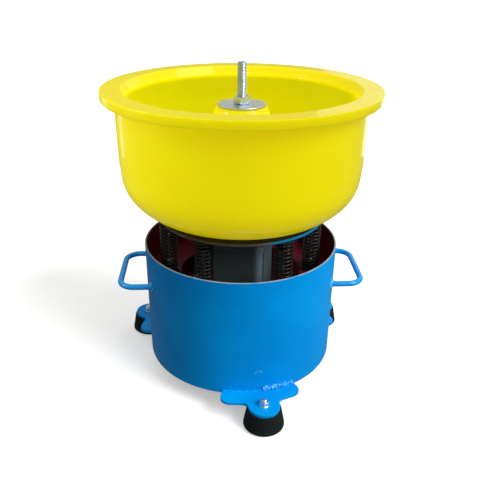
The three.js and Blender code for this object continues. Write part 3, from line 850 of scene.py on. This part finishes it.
# the lugs and their even welds take the lighter, painted-light blue
litBlueFinish = bluePaint("lit lug paint", {**paintLook, "blue": paintLook["litLugBlue"]})
handleFinish = handlePaint(paintLook)
weldFinish = weldPaint(paintLook)
drumFinish = drumPaint(paintLook, drumLook)
primerFinish = redPrimer(paintLook)
darkFinish = plainFinish("dark paint")
plateFinish = platePaint(plateLook)
zincFinish = plainFinish("zinc plate")
springFinish = plainFinish("black spring enamel")
motorFinish = motorPaint(motorLook)
rubberFinish = plainFinish("black rubber")
ironFinish = plainFinish("cast iron")
steelFinish = brightSteel()
windingFinish = windings(statorLook)
plasticFinish = blackPlastic()
print("materials made:", len(bpy.data.materials))


# bowl

def quarterEllipse(centreR, centreZ, across, up, count, fromFloor=True):
    # radius = centre + across cos(t), height = centre + up sin(t), from the floor to the wall
    t = np.linspace(-np.pi / 2, 0, count)
    points = np.column_stack([centreR + across * np.cos(t), centreZ + up * np.sin(t)])
    return points if fromFloor else points[::-1]


def bowlProfile(b):
    # outside up the wall, over the flange, down the inside, across the floor and up the cone
    bottom, top = bowlLow[2], bowlHigh[2]
    rim = radiusOf("tumbling_bowl")
    slope = math.radians(b["coneSlope"])
    coneTop = top - b["coneTopBelowRim"]
    floor = bottom + b["wall"]
    filletZ = floor + b["coneFillet"]
    tangent = math.tan(slope)
    collarFoot = coneTop - b["collarDepth"]
    collarRadius = b["coneTopRadius"] + b["collarFlare"]
    bore = radiusOf("centre_rod") + b["boreClearance"]
    filletR = collarRadius + (collarFoot - filletZ) * tangent + b["coneFillet"] / math.cos(slope)
    flat = filletR + b["floorLand"]
    across = b["wallRadius"] - b["draft"] - flat
    hollowWall = b["wall"] / math.cos(slope)
    hollowTop = coneTop - b["capThickness"]
    hollowBase = collarRadius + (collarFoot - bottom) * tangent - hollowWall
    hollowTopR = collarRadius + (collarFoot - hollowTop) * tangent - hollowWall
    flangeBottom = top - b["rimThickness"]
    inner = b["wallRadius"] - b["wall"]
    wallFoot = bottom + b["filletUp"]
    outside = rounded([
        (hollowBase, bottom + 0.02), (hollowBase, bottom, 0.0015), (flat - 0.001, bottom),
    ], closed=False)[1:]
    fillet = quarterEllipse(flat, wallFoot, across, b["filletUp"], 30)
    flange = rounded([
        (b["wallRadius"] - 0.0002, wallFoot + 0.02), (b["wallRadius"], flangeBottom, b["underRimRound"]),
        (rim, flangeBottom, b["rimRound"]), (rim, top, b["rimEdge"]), (inner, top, b["mouthRound"]),
        (inner - b["lipInset"], top - b["lipDepth"], 0.004),
        (inner, top - b["lipDepth"] - b["lipBlend"], 0.030), (inner - 0.0002, wallFoot + 0.02),
    ], closed=False, perArc=7)
    innerUp = b["filletUp"] - b["wall"]
    innerFillet = quarterEllipse(flat, wallFoot, across - b["wall"], innerUp, 30, fromFloor=False)
    coneFoot = arc(filletR, filletZ, b["coneFillet"], 1.5 * np.pi, np.pi + slope, 12)
    coneCap = rounded([
        tuple(coneFoot[-1]), (collarRadius, collarFoot, 0.003), (b["coneTopRadius"], coneTop, b["coneRound"]),
        (bore, coneTop, 0.0006), (bore, hollowTop, 0.0006), (hollowTopR, hollowTop, 0.004),
        (hollowBase, bottom + 0.003),
    ], closed=False)[1:]
    return np.concatenate([outside, fillet, flange, innerFillet, coneFoot, coneCap])


def makeBowl(b):
    profile = bowlProfile(b)
    makeTurned("bowl_casting", profile, b["steps"], bowlFinish, "bowl", ["tumbling_bowl"], "polyurethane",
               sharp=60)


makeBowl(bowlShape)
print("bowl made")


# clamp: washer, nut and threaded rod

clampShape = {
    "nutFlats": 0.021,
    "nutTurn": -14,        # degrees
    "threadPitch": 0.002,
    "threadDepth": 0.00115,
    "washerRound": 0.0006,
}


def makeClamp(c):
    low, high = boxOf("clamp_washer")
    outer = radiusOf("clamp_washer")
    bore = radiusOf("centre_rod") + 2 * contactGap
    e = c["washerRound"]
    seat = low[2] - contactGap
    profile = rounded([(bore, seat, e / 2), (outer, seat, e), (outer, high[2], e), (bore, high[2], e / 2)])
    makeTurned("rod_washer", profile, 120, zincFinish, "washer", ["clamp_washer"], "zinc")
    low, high = boxOf("clamp_nut")
    nut = hexNut(c["nutFlats"], high[2] - low[2], radiusOf("centre_rod") + contactGap)
    nut.move(lambda p: atAngle(shifted(p, z=low[2]), c["nutTurn"]))
    makePiece("rod_nut", nut, zincFinish, "nut", ["clamp_nut"], "zinc", sharp=28)
    low, high = boxOf("centre_rod")
    rod = threadedRod(radiusOf("centre_rod"), c["threadPitch"], c["threadDepth"], low[2], high[2],
                      boxOf("clamp_washer")[0][2])
    makePiece("threaded_rod", rod.move(onDrumAxis), zincFinish, "head", ["centre_rod"], "zinc", sharp=50)


makeClamp(clampShape)
print("clamp made")


# drum, shelf and carrier plate

def makeDrum(d):
    inner = drumRadius - d["wall"]
    e = d["edgeRound"]
    bottom, top = drumLow[2], drumHigh[2]
    profile = rounded([(inner, bottom, e), (drumRadius, bottom, e), (drumRadius, top, e), (inner, top, e)])
    makeTurned("drum_shell", profile, 256, drumFinish, "base", ["base_drum"], "blue_paint")


shelfShape = {"hole": 0.0957, "edgeRound": 0.0012}


def makeShelf(s):
    low, high = boxOf("spring_shelf")
    e = s["edgeRound"]
    outer = drumRadius - drumLook["wall"]
    profile = rounded([(s["hole"], low[2], e), (outer, low[2]), (outer, high[2]), (s["hole"], high[2], e)])
    makeTurned("shelf_ring", profile, 200, primerFinish, "base", ["spring_shelf"], "red_primer")


plateShape = {"edgeRound": 0.0012}


def makePlate(s):
    e = s["edgeRound"]
    outer = radiusOf("carrier_plate")
    bore = radiusOf("centre_rod") + contactGap
    bottom, top = plateLow[2], plateHigh[2]
    profile = rounded([(bore, bottom), (outer, bottom, e), (outer, top, e), (bore, top)])
    makeTurned("plate_disc", profile, 240, plateFinish, "head", ["carrier_plate"], "dark_paint")


makeDrum(drumLook)
makeShelf(shelfShape)
makePlate(plateShape)
print("drum, shelf and plate made")


# springs and seats

springShape = {
    "count": 6,
    "wire": 0.0028,
    "outerRadius": 0.0138,
    "openTurns": 14,
    "closedRise": 0.0034,
    "perTurn": 30,
    "sides": 12,
}


def springPath(s, length):
    # radius (cos(turn), sin(turn)) rising evenly between a closed turn at each end
    turns = s["openTurns"] + 2
    turn = np.linspace(0, turns, turns * s["perTurn"] + 1)
    rise = length - s["wire"]
    openRise = (rise - 2 * s["closedRise"]) / s["openTurns"]
    middle = np.clip(turn - 1, 0, s["openTurns"])
    ends = np.minimum(turn, 1) + np.maximum(turn - 1 - s["openTurns"], 0)
    radius = s["outerRadius"] - s["wire"] / 2
    height = s["wire"] / 2 + ends * s["closedRise"] + middle * openRise
    return np.column_stack([radius * np.cos(2 * np.pi * turn), radius * np.sin(2 * np.pi * turn), height])


seatShape = {
    "flange": 0.017,
    "flangeThickness": 0.0025,
    "spigot": 0.0094,
    "height": 0.0155,
    "dome": 0.002,
    "screwRadius": 0.0040,
    "screwHeight": 0.0024,
    "socket": 0.45,        # of the screw's radius
}


def seatProfile(s):
    # a flat flange with a domed spigot, as corners of radius, height and rounding
    return rounded([
        (0, 0), (s["flange"], 0, 0.0004), (s["flange"], s["flangeThickness"], 0.0009),
        (s["spigot"], s["flangeThickness"], 0.001), (s["spigot"], s["height"], s["dome"]), (0, s["height"]),
    ], closed=False)


def screwHeadProfile(s):
    # a domed head with a socket sunk in its top
    h, r = s["screwHeight"], s["screwRadius"]
    socket, floor = r * s["socket"], h * 0.4
    return rounded([
        (0, 0), (r, 0), (r, h, h * 0.6), (socket, h, 0.0002), (socket, floor), (0, floor),
    ], closed=False)


def makeSprings(s, seat):
    for i in range(s["count"]):
        name = f"spring_{i + 1}"
        degrees = machineTurn + i * 360 / s["count"]
        low, high = boxOf(name)
        out = distanceOf(f"lower_seat_{i + 1}")
        place = lambda p, z: atAngle(shifted(p, out, 0, z), degrees)
        coil = tube(springPath(s, high[2] - low[2]), s["wire"] / 2, sides=s["sides"])
        coil.move(lambda p: place(p, low[2]))
        spring = makePiece(f"coil_{i + 1}", coil, springFinish, None, [name], "spring_steel")
        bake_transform(spring)
        lowerZ = boxOf(f"lower_seat_{i + 1}")[0][2]
        upperZ = boxOf(f"upper_seat_{i + 1}")[1][2]
        makeTurned(f"seat_low_{i + 1}", seatProfile(seat), 64, darkFinish, "base", [f"lower_seat_{i + 1}"],
                   "dark_paint", place=lambda p: place(p, lowerZ), closed=False)
        flipped = seatProfile(seat)[::-1] * [1, -1]
        makeTurned(f"seat_high_{i + 1}", flipped, 64, darkFinish, "head", [f"upper_seat_{i + 1}"],
                   "dark_paint", place=lambda p: place(p, upperZ), closed=False)
        makeTurned(f"seat_screw_{i + 1}", screwHeadProfile(seat), 40, zincFinish, "base", slot="zinc",
                   place=lambda p: place(p, lowerZ + seat["height"]), closed=False)


makeSprings(springShape, seatShape)
print("springs made")


# foot lugs, feet and their studs

lugShape = {
    "reach": 0.026,        # wings out from the drum's wall
    "halfAngle": 21.5,     # degrees
    "corner": 0.014,
    "fillet": 0.010,
    "tab": 0.0235,
    "bevel": 0.0007,
    "bead": 0.0024,
}
footShape = {
    "top": 0.0255,
    "bottom": 0.0305,
    "foot": 0.004,         # upright part above the floor
    "chamfer": 0.003,
    "nutFlats": 0.013,
    "stud": 0.0039,
    "pitch": 0.00125,
    "threadDepth": 0.0008,
    "washer": 0.0079,
    "washerThickness": 0.0010,
}


def lugOutline(s, footCircle):
    # wings along the wall, fillets and a round tab, anticlockwise from the wing's inner end
    inner = drumRadius + 0.0001
    outer = drumRadius + s["reach"]
    end = math.radians(s["halfAngle"])
    cornerOut = outer - s["corner"]
    cornerAngle = end - math.asin(s["corner"] / cornerOut)
    filletOut = outer + s["fillet"]
    reach = s["tab"] + s["fillet"]
    filletX = (footCircle ** 2 + filletOut ** 2 - reach ** 2) / (2 * footCircle)
    filletY = math.sqrt(filletOut ** 2 - filletX ** 2)
    filletAngle = math.atan2(filletY, filletX)
    tabAngle = math.atan2(filletY, filletX - footCircle)
    cornerX, cornerY = cornerOut * math.cos(cornerAngle), cornerOut * math.sin(cornerAngle)
    quarter = math.pi / 2
    parts = [
        arc(0, 0, inner, end, -end, 40),
        arc(cornerX, -cornerY, s["corner"], -end - quarter, -cornerAngle, 14),
        arc(0, 0, outer, -cornerAngle, -filletAngle, 8)[1:-1],
        arc(filletX, -filletY, s["fillet"], math.pi - filletAngle, math.pi - tabAngle, 12),
        arc(footCircle, 0, s["tab"], -tabAngle, tabAngle, 40)[1:-1],
        arc(filletX, filletY, s["fillet"], tabAngle - math.pi, filletAngle - math.pi, 12),
        arc(0, 0, outer, filletAngle, cornerAngle, 8)[1:-1],
        arc(cornerX, cornerY, s["corner"], cornerAngle, end + quarter, 14),
    ]
    return np.concatenate(parts)


def makeFoot(side, s, f, seed):
    footCircle = distanceOf(f"rubber_foot_{side}")
    degrees = angleOf(f"rubber_foot_{side}")
    low, high = boxOf(f"foot_lug_{side}")
    place = lambda p: atAngle(p, degrees)
    holes = [circleHole(f["stud"] + contactGap, footCircle)]
    lug = plate(lugOutline(s, footCircle), holes, low[2], high[2], s["bevel"])
    makePiece(f"lug_{side}", lug.move(place), litBlueFinish, "base", [f"foot_lug_{side}"], "blue_paint")

    # a weld along the joint of wall and lug: its radius is radius (1 + beat sin(t)), its height wanders by
    # a small sine, and its surface is pushed about
    def makeWeld(name, finish, first, last, thick, lift, rough, size, beat):
        t = np.linspace(first, last, 300)
        angle = t * math.radians(s["halfAngle"] * 0.97)
        ripple = 1 + beat * np.sin(t * 95 + 2 * np.sin(t * 9))
        out = drumRadius + 0.0004
        height = high[2] + lift + 0.0005 * np.sin(t * 31 + seed)
        path = np.column_stack([out * np.cos(angle), out * np.sin(angle), height])
        bead = roughened(tube(path, s["bead"] * thick * ripple, sides=20), rough, size, seed)
        makePiece(name, bead.move(place), finish, "base", slot="blue_paint", sharp=80)

    # an even bead, and one wing gone over roughly
    makeWeld(f"weld_lug_{side}", litBlueFinish, -1, 1, 0.6, 0, 0.0001, 0.004, 0.04)
    makeWeld(f"weld_rough_{side}", weldFinish, 0.1, 1.0, 1.3, 0.0026, 0.0019, 0.0019, 0.25)

    bottom, top = boxOf(f"rubber_foot_{side}")
    bottom, top = bottom[2], top[2] + contactGap
    onTab = lambda p: atAngle(shifted(p, footCircle), degrees)
    cut = f["chamfer"]
    profile = rounded([
        (0, bottom), (f["bottom"] - cut, bottom, 0.0008), (f["bottom"], bottom + cut, 0.0015),
        (f["bottom"], bottom + f["foot"] + 0.001, 0.0012), (f["top"], top, 0.0012), (0, top),
    ], closed=False)
    makeTurned(f"foot_{side}", profile, 96, rubberFinish, "base", [f"rubber_foot_{side}"], "rubber",
               place=onTab, closed=False)
    washerTop = high[2] + f["washerThickness"]
    bore, outer = f["stud"] + contactGap, f["washer"]
    profile = rounded([(bore, high[2], 0.0002), (outer, high[2], 0.0003), (outer, washerTop, 0.0004),
                       (bore, washerTop, 0.0002)])
    makeTurned(f"stud_washer_{side}", profile, 64, zincFinish, "base", slot="zinc", place=onTab)
    nutTop = boxOf(f"foot_nut_{side}")[1][2]
    nut = hexNut(f["nutFlats"], nutTop - washerTop, f["stud"] + contactGap / 2)
    nut.move(lambda p: onTab(shifted(atTurn(p, 17 * seed), z=washerTop)))
    makePiece(f"stud_nut_{side}", nut, zincFinish, "base", [f"foot_nut_{side}"], "zinc", sharp=28)
    studLow, studHigh = boxOf(f"foot_stud_{side}")
    stud = threadedRod(f["stud"], f["pitch"], f["threadDepth"], studLow[2], studHigh[2], high[2] - 0.001, 32)
    makePiece(f"stud_{side}", stud.move(onTab), zincFinish, "base", [f"foot_stud_{side}"], "zinc", sharp=50)


for seed, side in enumerate(("front", "right", "left"), 1):
    makeFoot(side, lugShape, footShape, seed)
print("feet made")


# carrying handles

handleShape = {"rod": 0.0045, "spacing": 0.1148, "bend": 0.022, "bead": 0.0023, "sides": 24}


def handlePath(s, grip):
    # out from the wall, round a bend of (cos(t), sin(t)), along the grip and back
    half = s["spacing"] / 2
    start = math.sqrt(drumRadius ** 2 - half ** 2) - 0.001
    bend = s["bend"]
    quarter = math.pi / 2
    leg = np.linspace(start, grip - bend, 14)[:-1]
    near = np.column_stack([leg, np.full(len(leg), -half)])
    bar = np.linspace(-half + bend, half - bend, 16)[1:-1]
    parts = [
        near, arc(grip - bend, -half + bend, bend, -quarter, 0, 16),
        np.column_stack([np.full(len(bar), grip), bar]),
        arc(grip - bend, half - bend, bend, 0, quarter, 16), near[::-1] * [1, -1],
    ]
    flat = np.concatenate(parts)
    return np.column_stack([flat, np.zeros(len(flat))])


def makeHandle(side, degrees, s, seed):
    low, high = boxOf(f"carry_handle_{side}")
    z = (low[2] + high[2]) / 2
    far = np.array([low, high])[:, 0] - axisX
    grip = np.abs(far).max() / math.cos(math.radians(machineTurn)) - s["rod"] - 0.0012
    place = lambda p: atAngle(shifted(p, z=z), degrees)
    bar = tube(handlePath(s, grip), s["rod"], sides=s["sides"])
    makePiece(f"handle_{side}", bar.move(place), handleFinish, "base", [f"carry_handle_{side}"], "blue_paint")
    for k, sign in enumerate((-1, 1)):
        # a bead round the leg, where it meets the curved wall
        t = np.linspace(0, 2 * np.pi, 90, endpoint=False)
        ring = s["rod"] + 0.0006
        across = sign * s["spacing"] / 2 + ring * 1.15 * np.cos(t)
        path = np.column_stack([np.sqrt(drumRadius ** 2 - across ** 2) + 0.0004, across, ring * np.sin(t)])
        radius = s["bead"] * (0.85 + 0.22 * np.sin(t * 11 + k + seed))
        bead = roughened(tube(path, radius, up=(1, 0, 0), sides=12, loop=True), 0.0007, 0.003, seed + k)
        makePiece(f"weld_{side}_{k + 1}", bead.move(place), weldFinish, "base", slot="blue_paint", sharp=80)


makeHandle("right", machineTurn, handleShape, 3)
makeHandle("left", machineTurn + 180, handleShape, 8)
print("handles made")


# motor

motorShape = {
    "width": 0.090,
    "corner": 0.011,
    "coverCorner": 0.013,
    "step": 0.0016,        # the sides stand proud of the round corners
    "stepBack": 0.002,
    "bore": 0.040,
    "edge": 0.0012,
    "housingEdge": 0.0004,
    "studInset": 0.010,
    "studHole": 0.0031,
    "stud": 0.0028,
    "studHead": 0.005,
    "shaft": 0.0075,
    "shieldBore": 0.0105,
    "collar": 0.006,
}


def motorOutline(m):
    # flat sides that step in before each round corner
    half, c, step = m["width"] / 2, m["corner"], m["step"]
    flat = half - c - m["stepBack"]
    centre = half - c - step
    corner = np.concatenate([[(half, flat), (half - step, flat)], arc(centre, centre, c, 0, math.pi / 2, 9),
                             [(flat, half - step), (flat, half)]])
    corner = np.column_stack([corner, np.zeros(len(corner))])
    return np.concatenate([atTurn(corner, 90 * k)[:, :2] for k in range(4)])


def studPlaces(m):
    half = m["width"] / 2 - m["studInset"]
    return [(half, half), (-half, half), (-half, -half), (half, -half)]


def onMotor(points):
    return atAngle(points, motorTurn)


def makeMotor(m):
    studHoles = [circleHole(m["studHole"], x, y, 20) for x, y in studPlaces(m)]
    holes = [circleHole(m["bore"], count=72), *studHoles]
    housing = plate(motorOutline(m), holes, housingLow[2], housingHigh[2], m["housingEdge"])
    makePiece("motor_body", housing.move(onMotor), motorFinish, "head", ["motor_housing"], "motor_paint")
    for name, node in (("motor_cover_top", "motor_upper_shield"), ("motor_cover_base", "motor_lower_shield")):
        low, high = boxOf(node)
        holes = [circleHole(m["shieldBore"], count=40), *studHoles]
        shield = plate(roundedSquare(m["width"], m["coverCorner"]), holes, low[2], high[2], m["edge"])
        makePiece(name, shield.move(onMotor), motorFinish, "head", [node], "motor_paint")
    for i, (x, y) in enumerate(studPlaces(m)):
        low, high = boxOf(f"motor_stud_{i + 1}")
        under = boxOf("motor_lower_shield")[0][2] - contactGap
        over = boxOf("motor_upper_shield")[1][2] + contactGap
        hung = plateLow[2] - contactGap
        r, c, head = m["stud"], m["collar"], m["studHead"]
        profile = rounded([
            (0, low[2]), (head, low[2], 0.0008), (head, under, 0.0002), (r, under), (r, over),
            (c, over, 0.0005), (c, hung, 0.0005), (r, hung), (r, high[2]), (0, high[2]),
        ], closed=False, perArc=3)
        makeTurned(f"hanger_{i + 1}", profile, 40, zincFinish, "head", [f"motor_stud_{i + 1}"], "zinc",
                   place=lambda p: onMotor(shifted(p, x, y)), closed=False)
    low, high = boxOf("motor_shaft")
    r = m["shaft"]
    profile = rounded([(0, low[2]), (r, low[2], 0.0008), (r, high[2], 0.0008), (0, high[2])], closed=False)
    makeTurned("shaft", profile, 64, steelFinish, "rotor", ["motor_shaft"], "bright_steel", closed=False)
    low, high = boxOf("rod_boss")
    bore, outer = radiusOf("centre_rod") + contactGap, radiusOf("rod_boss")
    profile = rounded([(bore, low[2]), (outer, low[2], 0.0015), (outer, high[2]), (bore, high[2])])
    makeTurned("boss", profile, 80, darkFinish, "head", ["rod_boss"], "dark_paint")


weightShape = {
    "hub": 0.015,
    "bore": 0.0078,
    "halfAngle": 82,       # degrees
    "shoulder": 0.05,      # radians between the sector's side and the hub's round
    "bevel": 0.0008,
    "upper": {"radius": 0.0380, "angle": -60},
    "lower": {"radius": 0.046, "angle": 30},
}


def makeWeight(name, which, body, s):
    # a heavy sector on one side of a round hub
    low, high = boxOf(f"{which}_weight")
    half = math.radians(s["halfAngle"])
    hubFrom = half + s["shoulder"]
    sector = arc(0, 0, s[which]["radius"], -half, half, 60)
    outline = np.concatenate([sector, arc(0, 0, s["hub"], hubFrom, 2 * math.pi - hubFrom, 50)])
    solid = plate(outline, [circleHole(s["bore"], count=48)], low[2], high[2], s["bevel"])
    solid.move(lambda p: atAngle(p, s[which]["angle"]))
    makePiece(name, solid, ironFinish, body, [f"{which}_weight"], "cast_iron")


makeMotor(motorShape)
makeWeight("eccentric_top", "upper", "rotor", weightShape)
makeWeight("eccentric_base", "lower", "lower_eccentric", weightShape)
print("motor made")


# cable gland and capacitor at the back

glandShape = {
    "flats": 0.022,
    "bore": 0.004,
    "collar": 0.007,
    "neckRadius": 0.0095,
    "neck": 0.0075,        # out from the wall
    "domeRadius": 0.0099,
    "shoulder": 0.012,
    "length": 0.0168,
    "angle": 93,           # degrees
}
capacitorShape = {
    "capHeight": 0.006,
    "capRadius": 0.0055,
    "edge": 0.002,
}


def makeGland(g):
    low, high = boxOf("cable_gland")
    z = (low[2] + high[2]) / 2
    outwards = lambda p: atAngle(np.stack([p[..., 2], p[..., 1], z - p[..., 0]], -1), g["angle"])
    start = drumRadius + contactGap
    collar = hexNut(g["flats"], g["collar"], g["bore"] + 0.0005)
    collar.move(lambda p: shifted(p, z=start))
    bore, neck, dome = g["bore"], g["neckRadius"], g["domeRadius"]
    neckEnd, end = start + g["neck"], start + g["length"]
    dome = turned(rounded([
        (bore, start - 0.002), (neck, start - 0.002), (neck, neckEnd, 0.0004), (dome, neckEnd, 0.0004),
        (dome, start + g["shoulder"], 0.002), (bore + 0.0022, end, 0.001), (bore, end, 0.0006),
    ]), 64)
    whole = Surfaces()
    for part in (collar, dome):
        for points, faces in zip(part.points, part.faces):
            whole.add(points, faces)
    makePiece("gland", whole.move(outwards), plasticFinish, "base", ["cable_gland"], "black_plastic")


def makeCapacitor(c):
    low, high = boxOf("run_capacitor")
    middle = (low + high) / 2
    r = radiusOf("run_capacitor") - 0.0001
    top, canTop = high[2], high[2] - c["capHeight"]
    cap, e = c["capRadius"], c["edge"]
    profile = rounded([
        (0, low[2]), (r, low[2], e), (r, canTop, e), (cap, canTop), (cap, top, 0.0008), (0, top),
    ], closed=False)
    makeTurned("capacitor", profile, 80, plasticFinish, "base", ["run_capacitor"], "black_plastic",
               place=lambda p: shifted(p, middle[0], middle[1]), closed=False)


makeGland(glandShape)
makeCapacitor(capacitorShape)

# inner pieces whose CAD shape is right keep it and take their finish
keptFinishes = {
    "stator": windingFinish,
    "rotor_core": ironFinish,
    "upper_bearing": steelFinish,
    "lower_bearing": steelFinish,
    "upper_weight_screw": zincFinish,
    "lower_weight_screw": zincFinish,
    "gland_locknut": plasticFinish,
    "capacitor_clip": zincFinish,
}
for node, finish in keptFinishes.items():
    data = frame["nodes"][node].data
    data.materials.clear()
    data.materials.append(finish)
print("inner pieces finished")


# floor and light

studio = {
    "floor": 0.93,
    "floorGlow": 0.38,
    "skyLow": 0.16,
    "skyHigh": 0.42,
    "skyRight": 0.26,
    # a soft sun, its angle in degrees right of the front, and how much of it falls on the bowl
    "sun": {"around": 58, "above": 40, "softness": 36, "power": 2.7, "onBowl": 0.4},
    "window": {"place": (-0.62, -0.16, 0.60), "size": (0.12, 0.5), "power": 1.6, "aim": (-0.1, 0, 0.42)},
    "strip_left": {"place": (-0.93, 0.75, 0.22), "size": (0.16, 0.4), "power": 0.22, "aim": (-0.15, 0, 0.4)},
    "strip_right": {"place": (0.67, 1.00, 0.22), "size": (0.45, 0.40), "power": 0.9, "aim": (0.15, 0, 0.40)},
    "card": {"place": (0.0, 1.25, 1.10), "size": (1.2, 0.45), "power": 1.4, "aim": (0, 0, 0.44)},
    "spark": {"place": (0.06, -0.95, 0.68), "size": (0.05, 0.05), "power": 2.6, "aim": (0, 0, 0.22)},
    "side": {"place": (0.85, -0.35, 0.58), "size": (0.25, 0.25), "power": 2.0, "aim": (0.04, 0, 0.20)},
    "lamp": {"place": (0.70, 1.25, 0.78), "size": (0.9, 0.30), "power": 0.5, "aim": (0.1, 0, 0.44)},
}


def makeFloor(s):
    reach = 25
    points = [(-reach, -reach, 0), (reach, -reach, 0), (reach, reach, 0), (-reach, reach, 0)]
    mesh = bpy.data.meshes.new("floor")
    mesh.from_pydata(points, [], [(0, 1, 2, 3)])
    floor = bpy.data.objects.new("floor", mesh)
    scene.collection.objects.link(floor)
    f = Finish("pale floor", **{"Roughness": 0.9, "Specular IOR Level": 0.1, "Emission Color": (1, 1, 1, 1),
                                "Emission Strength": s["floorGlow"]})
    shade = s["floor"]
    mesh.materials.append(f.feed(colour=f.mix(f.noise(2, 2, 0.5), (shade,) * 3, (shade * 0.99,) * 3)))
    floor.visible_diffuse = False
    floor.visible_glossy = False


def addLight(name, kind, energy, place, aim):
    data = bpy.data.lights.new(name, kind)
    data.energy = energy
    lamp = bpy.data.objects.new(name, data)
    scene.collection.objects.link(lamp)
    place, aim = Vector(place), Vector(aim)
    turn = (aim - place).to_track_quat("-Z", "Y")
    lamp.matrix_world = Matrix.Translation(place) @ turn.to_matrix().to_4x4()
    return data


def limitLight(light, pieces, only=True):
    # the light falls on these pieces alone, or on everything but them
    group = bpy.data.collections.new(f"{light} reach")
    for k, name in enumerate(pieces):
        group.objects.link(bpy.data.objects[name])
        if not only:
            group.collection_objects[k].light_linking.link_state = "EXCLUDE"
    bpy.data.objects[light].light_linking.receiver_collection = group


def makeLights(s):
    sun = s["sun"]
    around, above = math.radians(sun["around"]), math.radians(sun["above"])
    towards = (math.cos(above) * math.sin(around), -math.cos(above) * math.cos(around), math.sin(above))
    for name, share in (("sun", 1), ("bowl_sun", sun["onBowl"])):
        data = addLight(name, "SUN", sun["power"] * share, Vector(towards) * 3, (0, 0, 0))
        data.angle = math.radians(sun["softness"])
        limitLight(name, ["bowl_casting"], only=name == "bowl_sun")
    for name in ("window", "strip_left", "strip_right", "card", "spark", "side", "lamp"):
        light = s[name]
        data = addLight(name, "AREA", light["power"], light["place"], light["aim"])
        bpy.data.objects[name].visible_camera = False
        data.shape = "RECTANGLE"
        data.size, data.size_y = light["size"]
    limitLight("window", ["bowl_casting", "handle_left", "handle_right"])
    for name in ("strip_left", "strip_right"):
        limitLight(name, ["bowl_casting"])
    limitLight("card", ["rod_washer", "rod_nut", "threaded_rod"])
    limitLight("spark", [f"coil_{i + 1}" for i in range(springShape["count"])])
    limitLight("side", ["motor_body", "motor_cover_top"])


def makeWorld(s):
    # brighter above and to the right: strength follows the direction's x and z
    world = bpy.data.worlds.new("studio")
    scene.world = world
    world.use_nodes = True
    tree = world.node_tree
    background = tree.nodes["Background"]
    background.inputs["Color"].default_value = (1, 1, 1, 1)
    way = addNode(tree, "ShaderNodeTexCoord")
    apart = tree.nodes.new("ShaderNodeSeparateXYZ")
    tree.links.new(way.socket, apart.inputs[0])
    x, z = Shade(tree, apart.outputs[0]), Shade(tree, apart.outputs[2])
    light = s["skyLow"] + z.band(0.1, 0.7) * s["skyHigh"] + x.band(0, 1) * z.band(-0.3, 0.2) * s["skyRight"]
    # plain white as a backdrop
    seen = addNode(tree, "ShaderNodeLightPath")
    strength = light + (1 - light) * seen
    tree.links.new(strength.socket, background.inputs["Strength"])


makeFloor(studio)
makeWorld(studio)
makeLights(studio)
print("stage set")
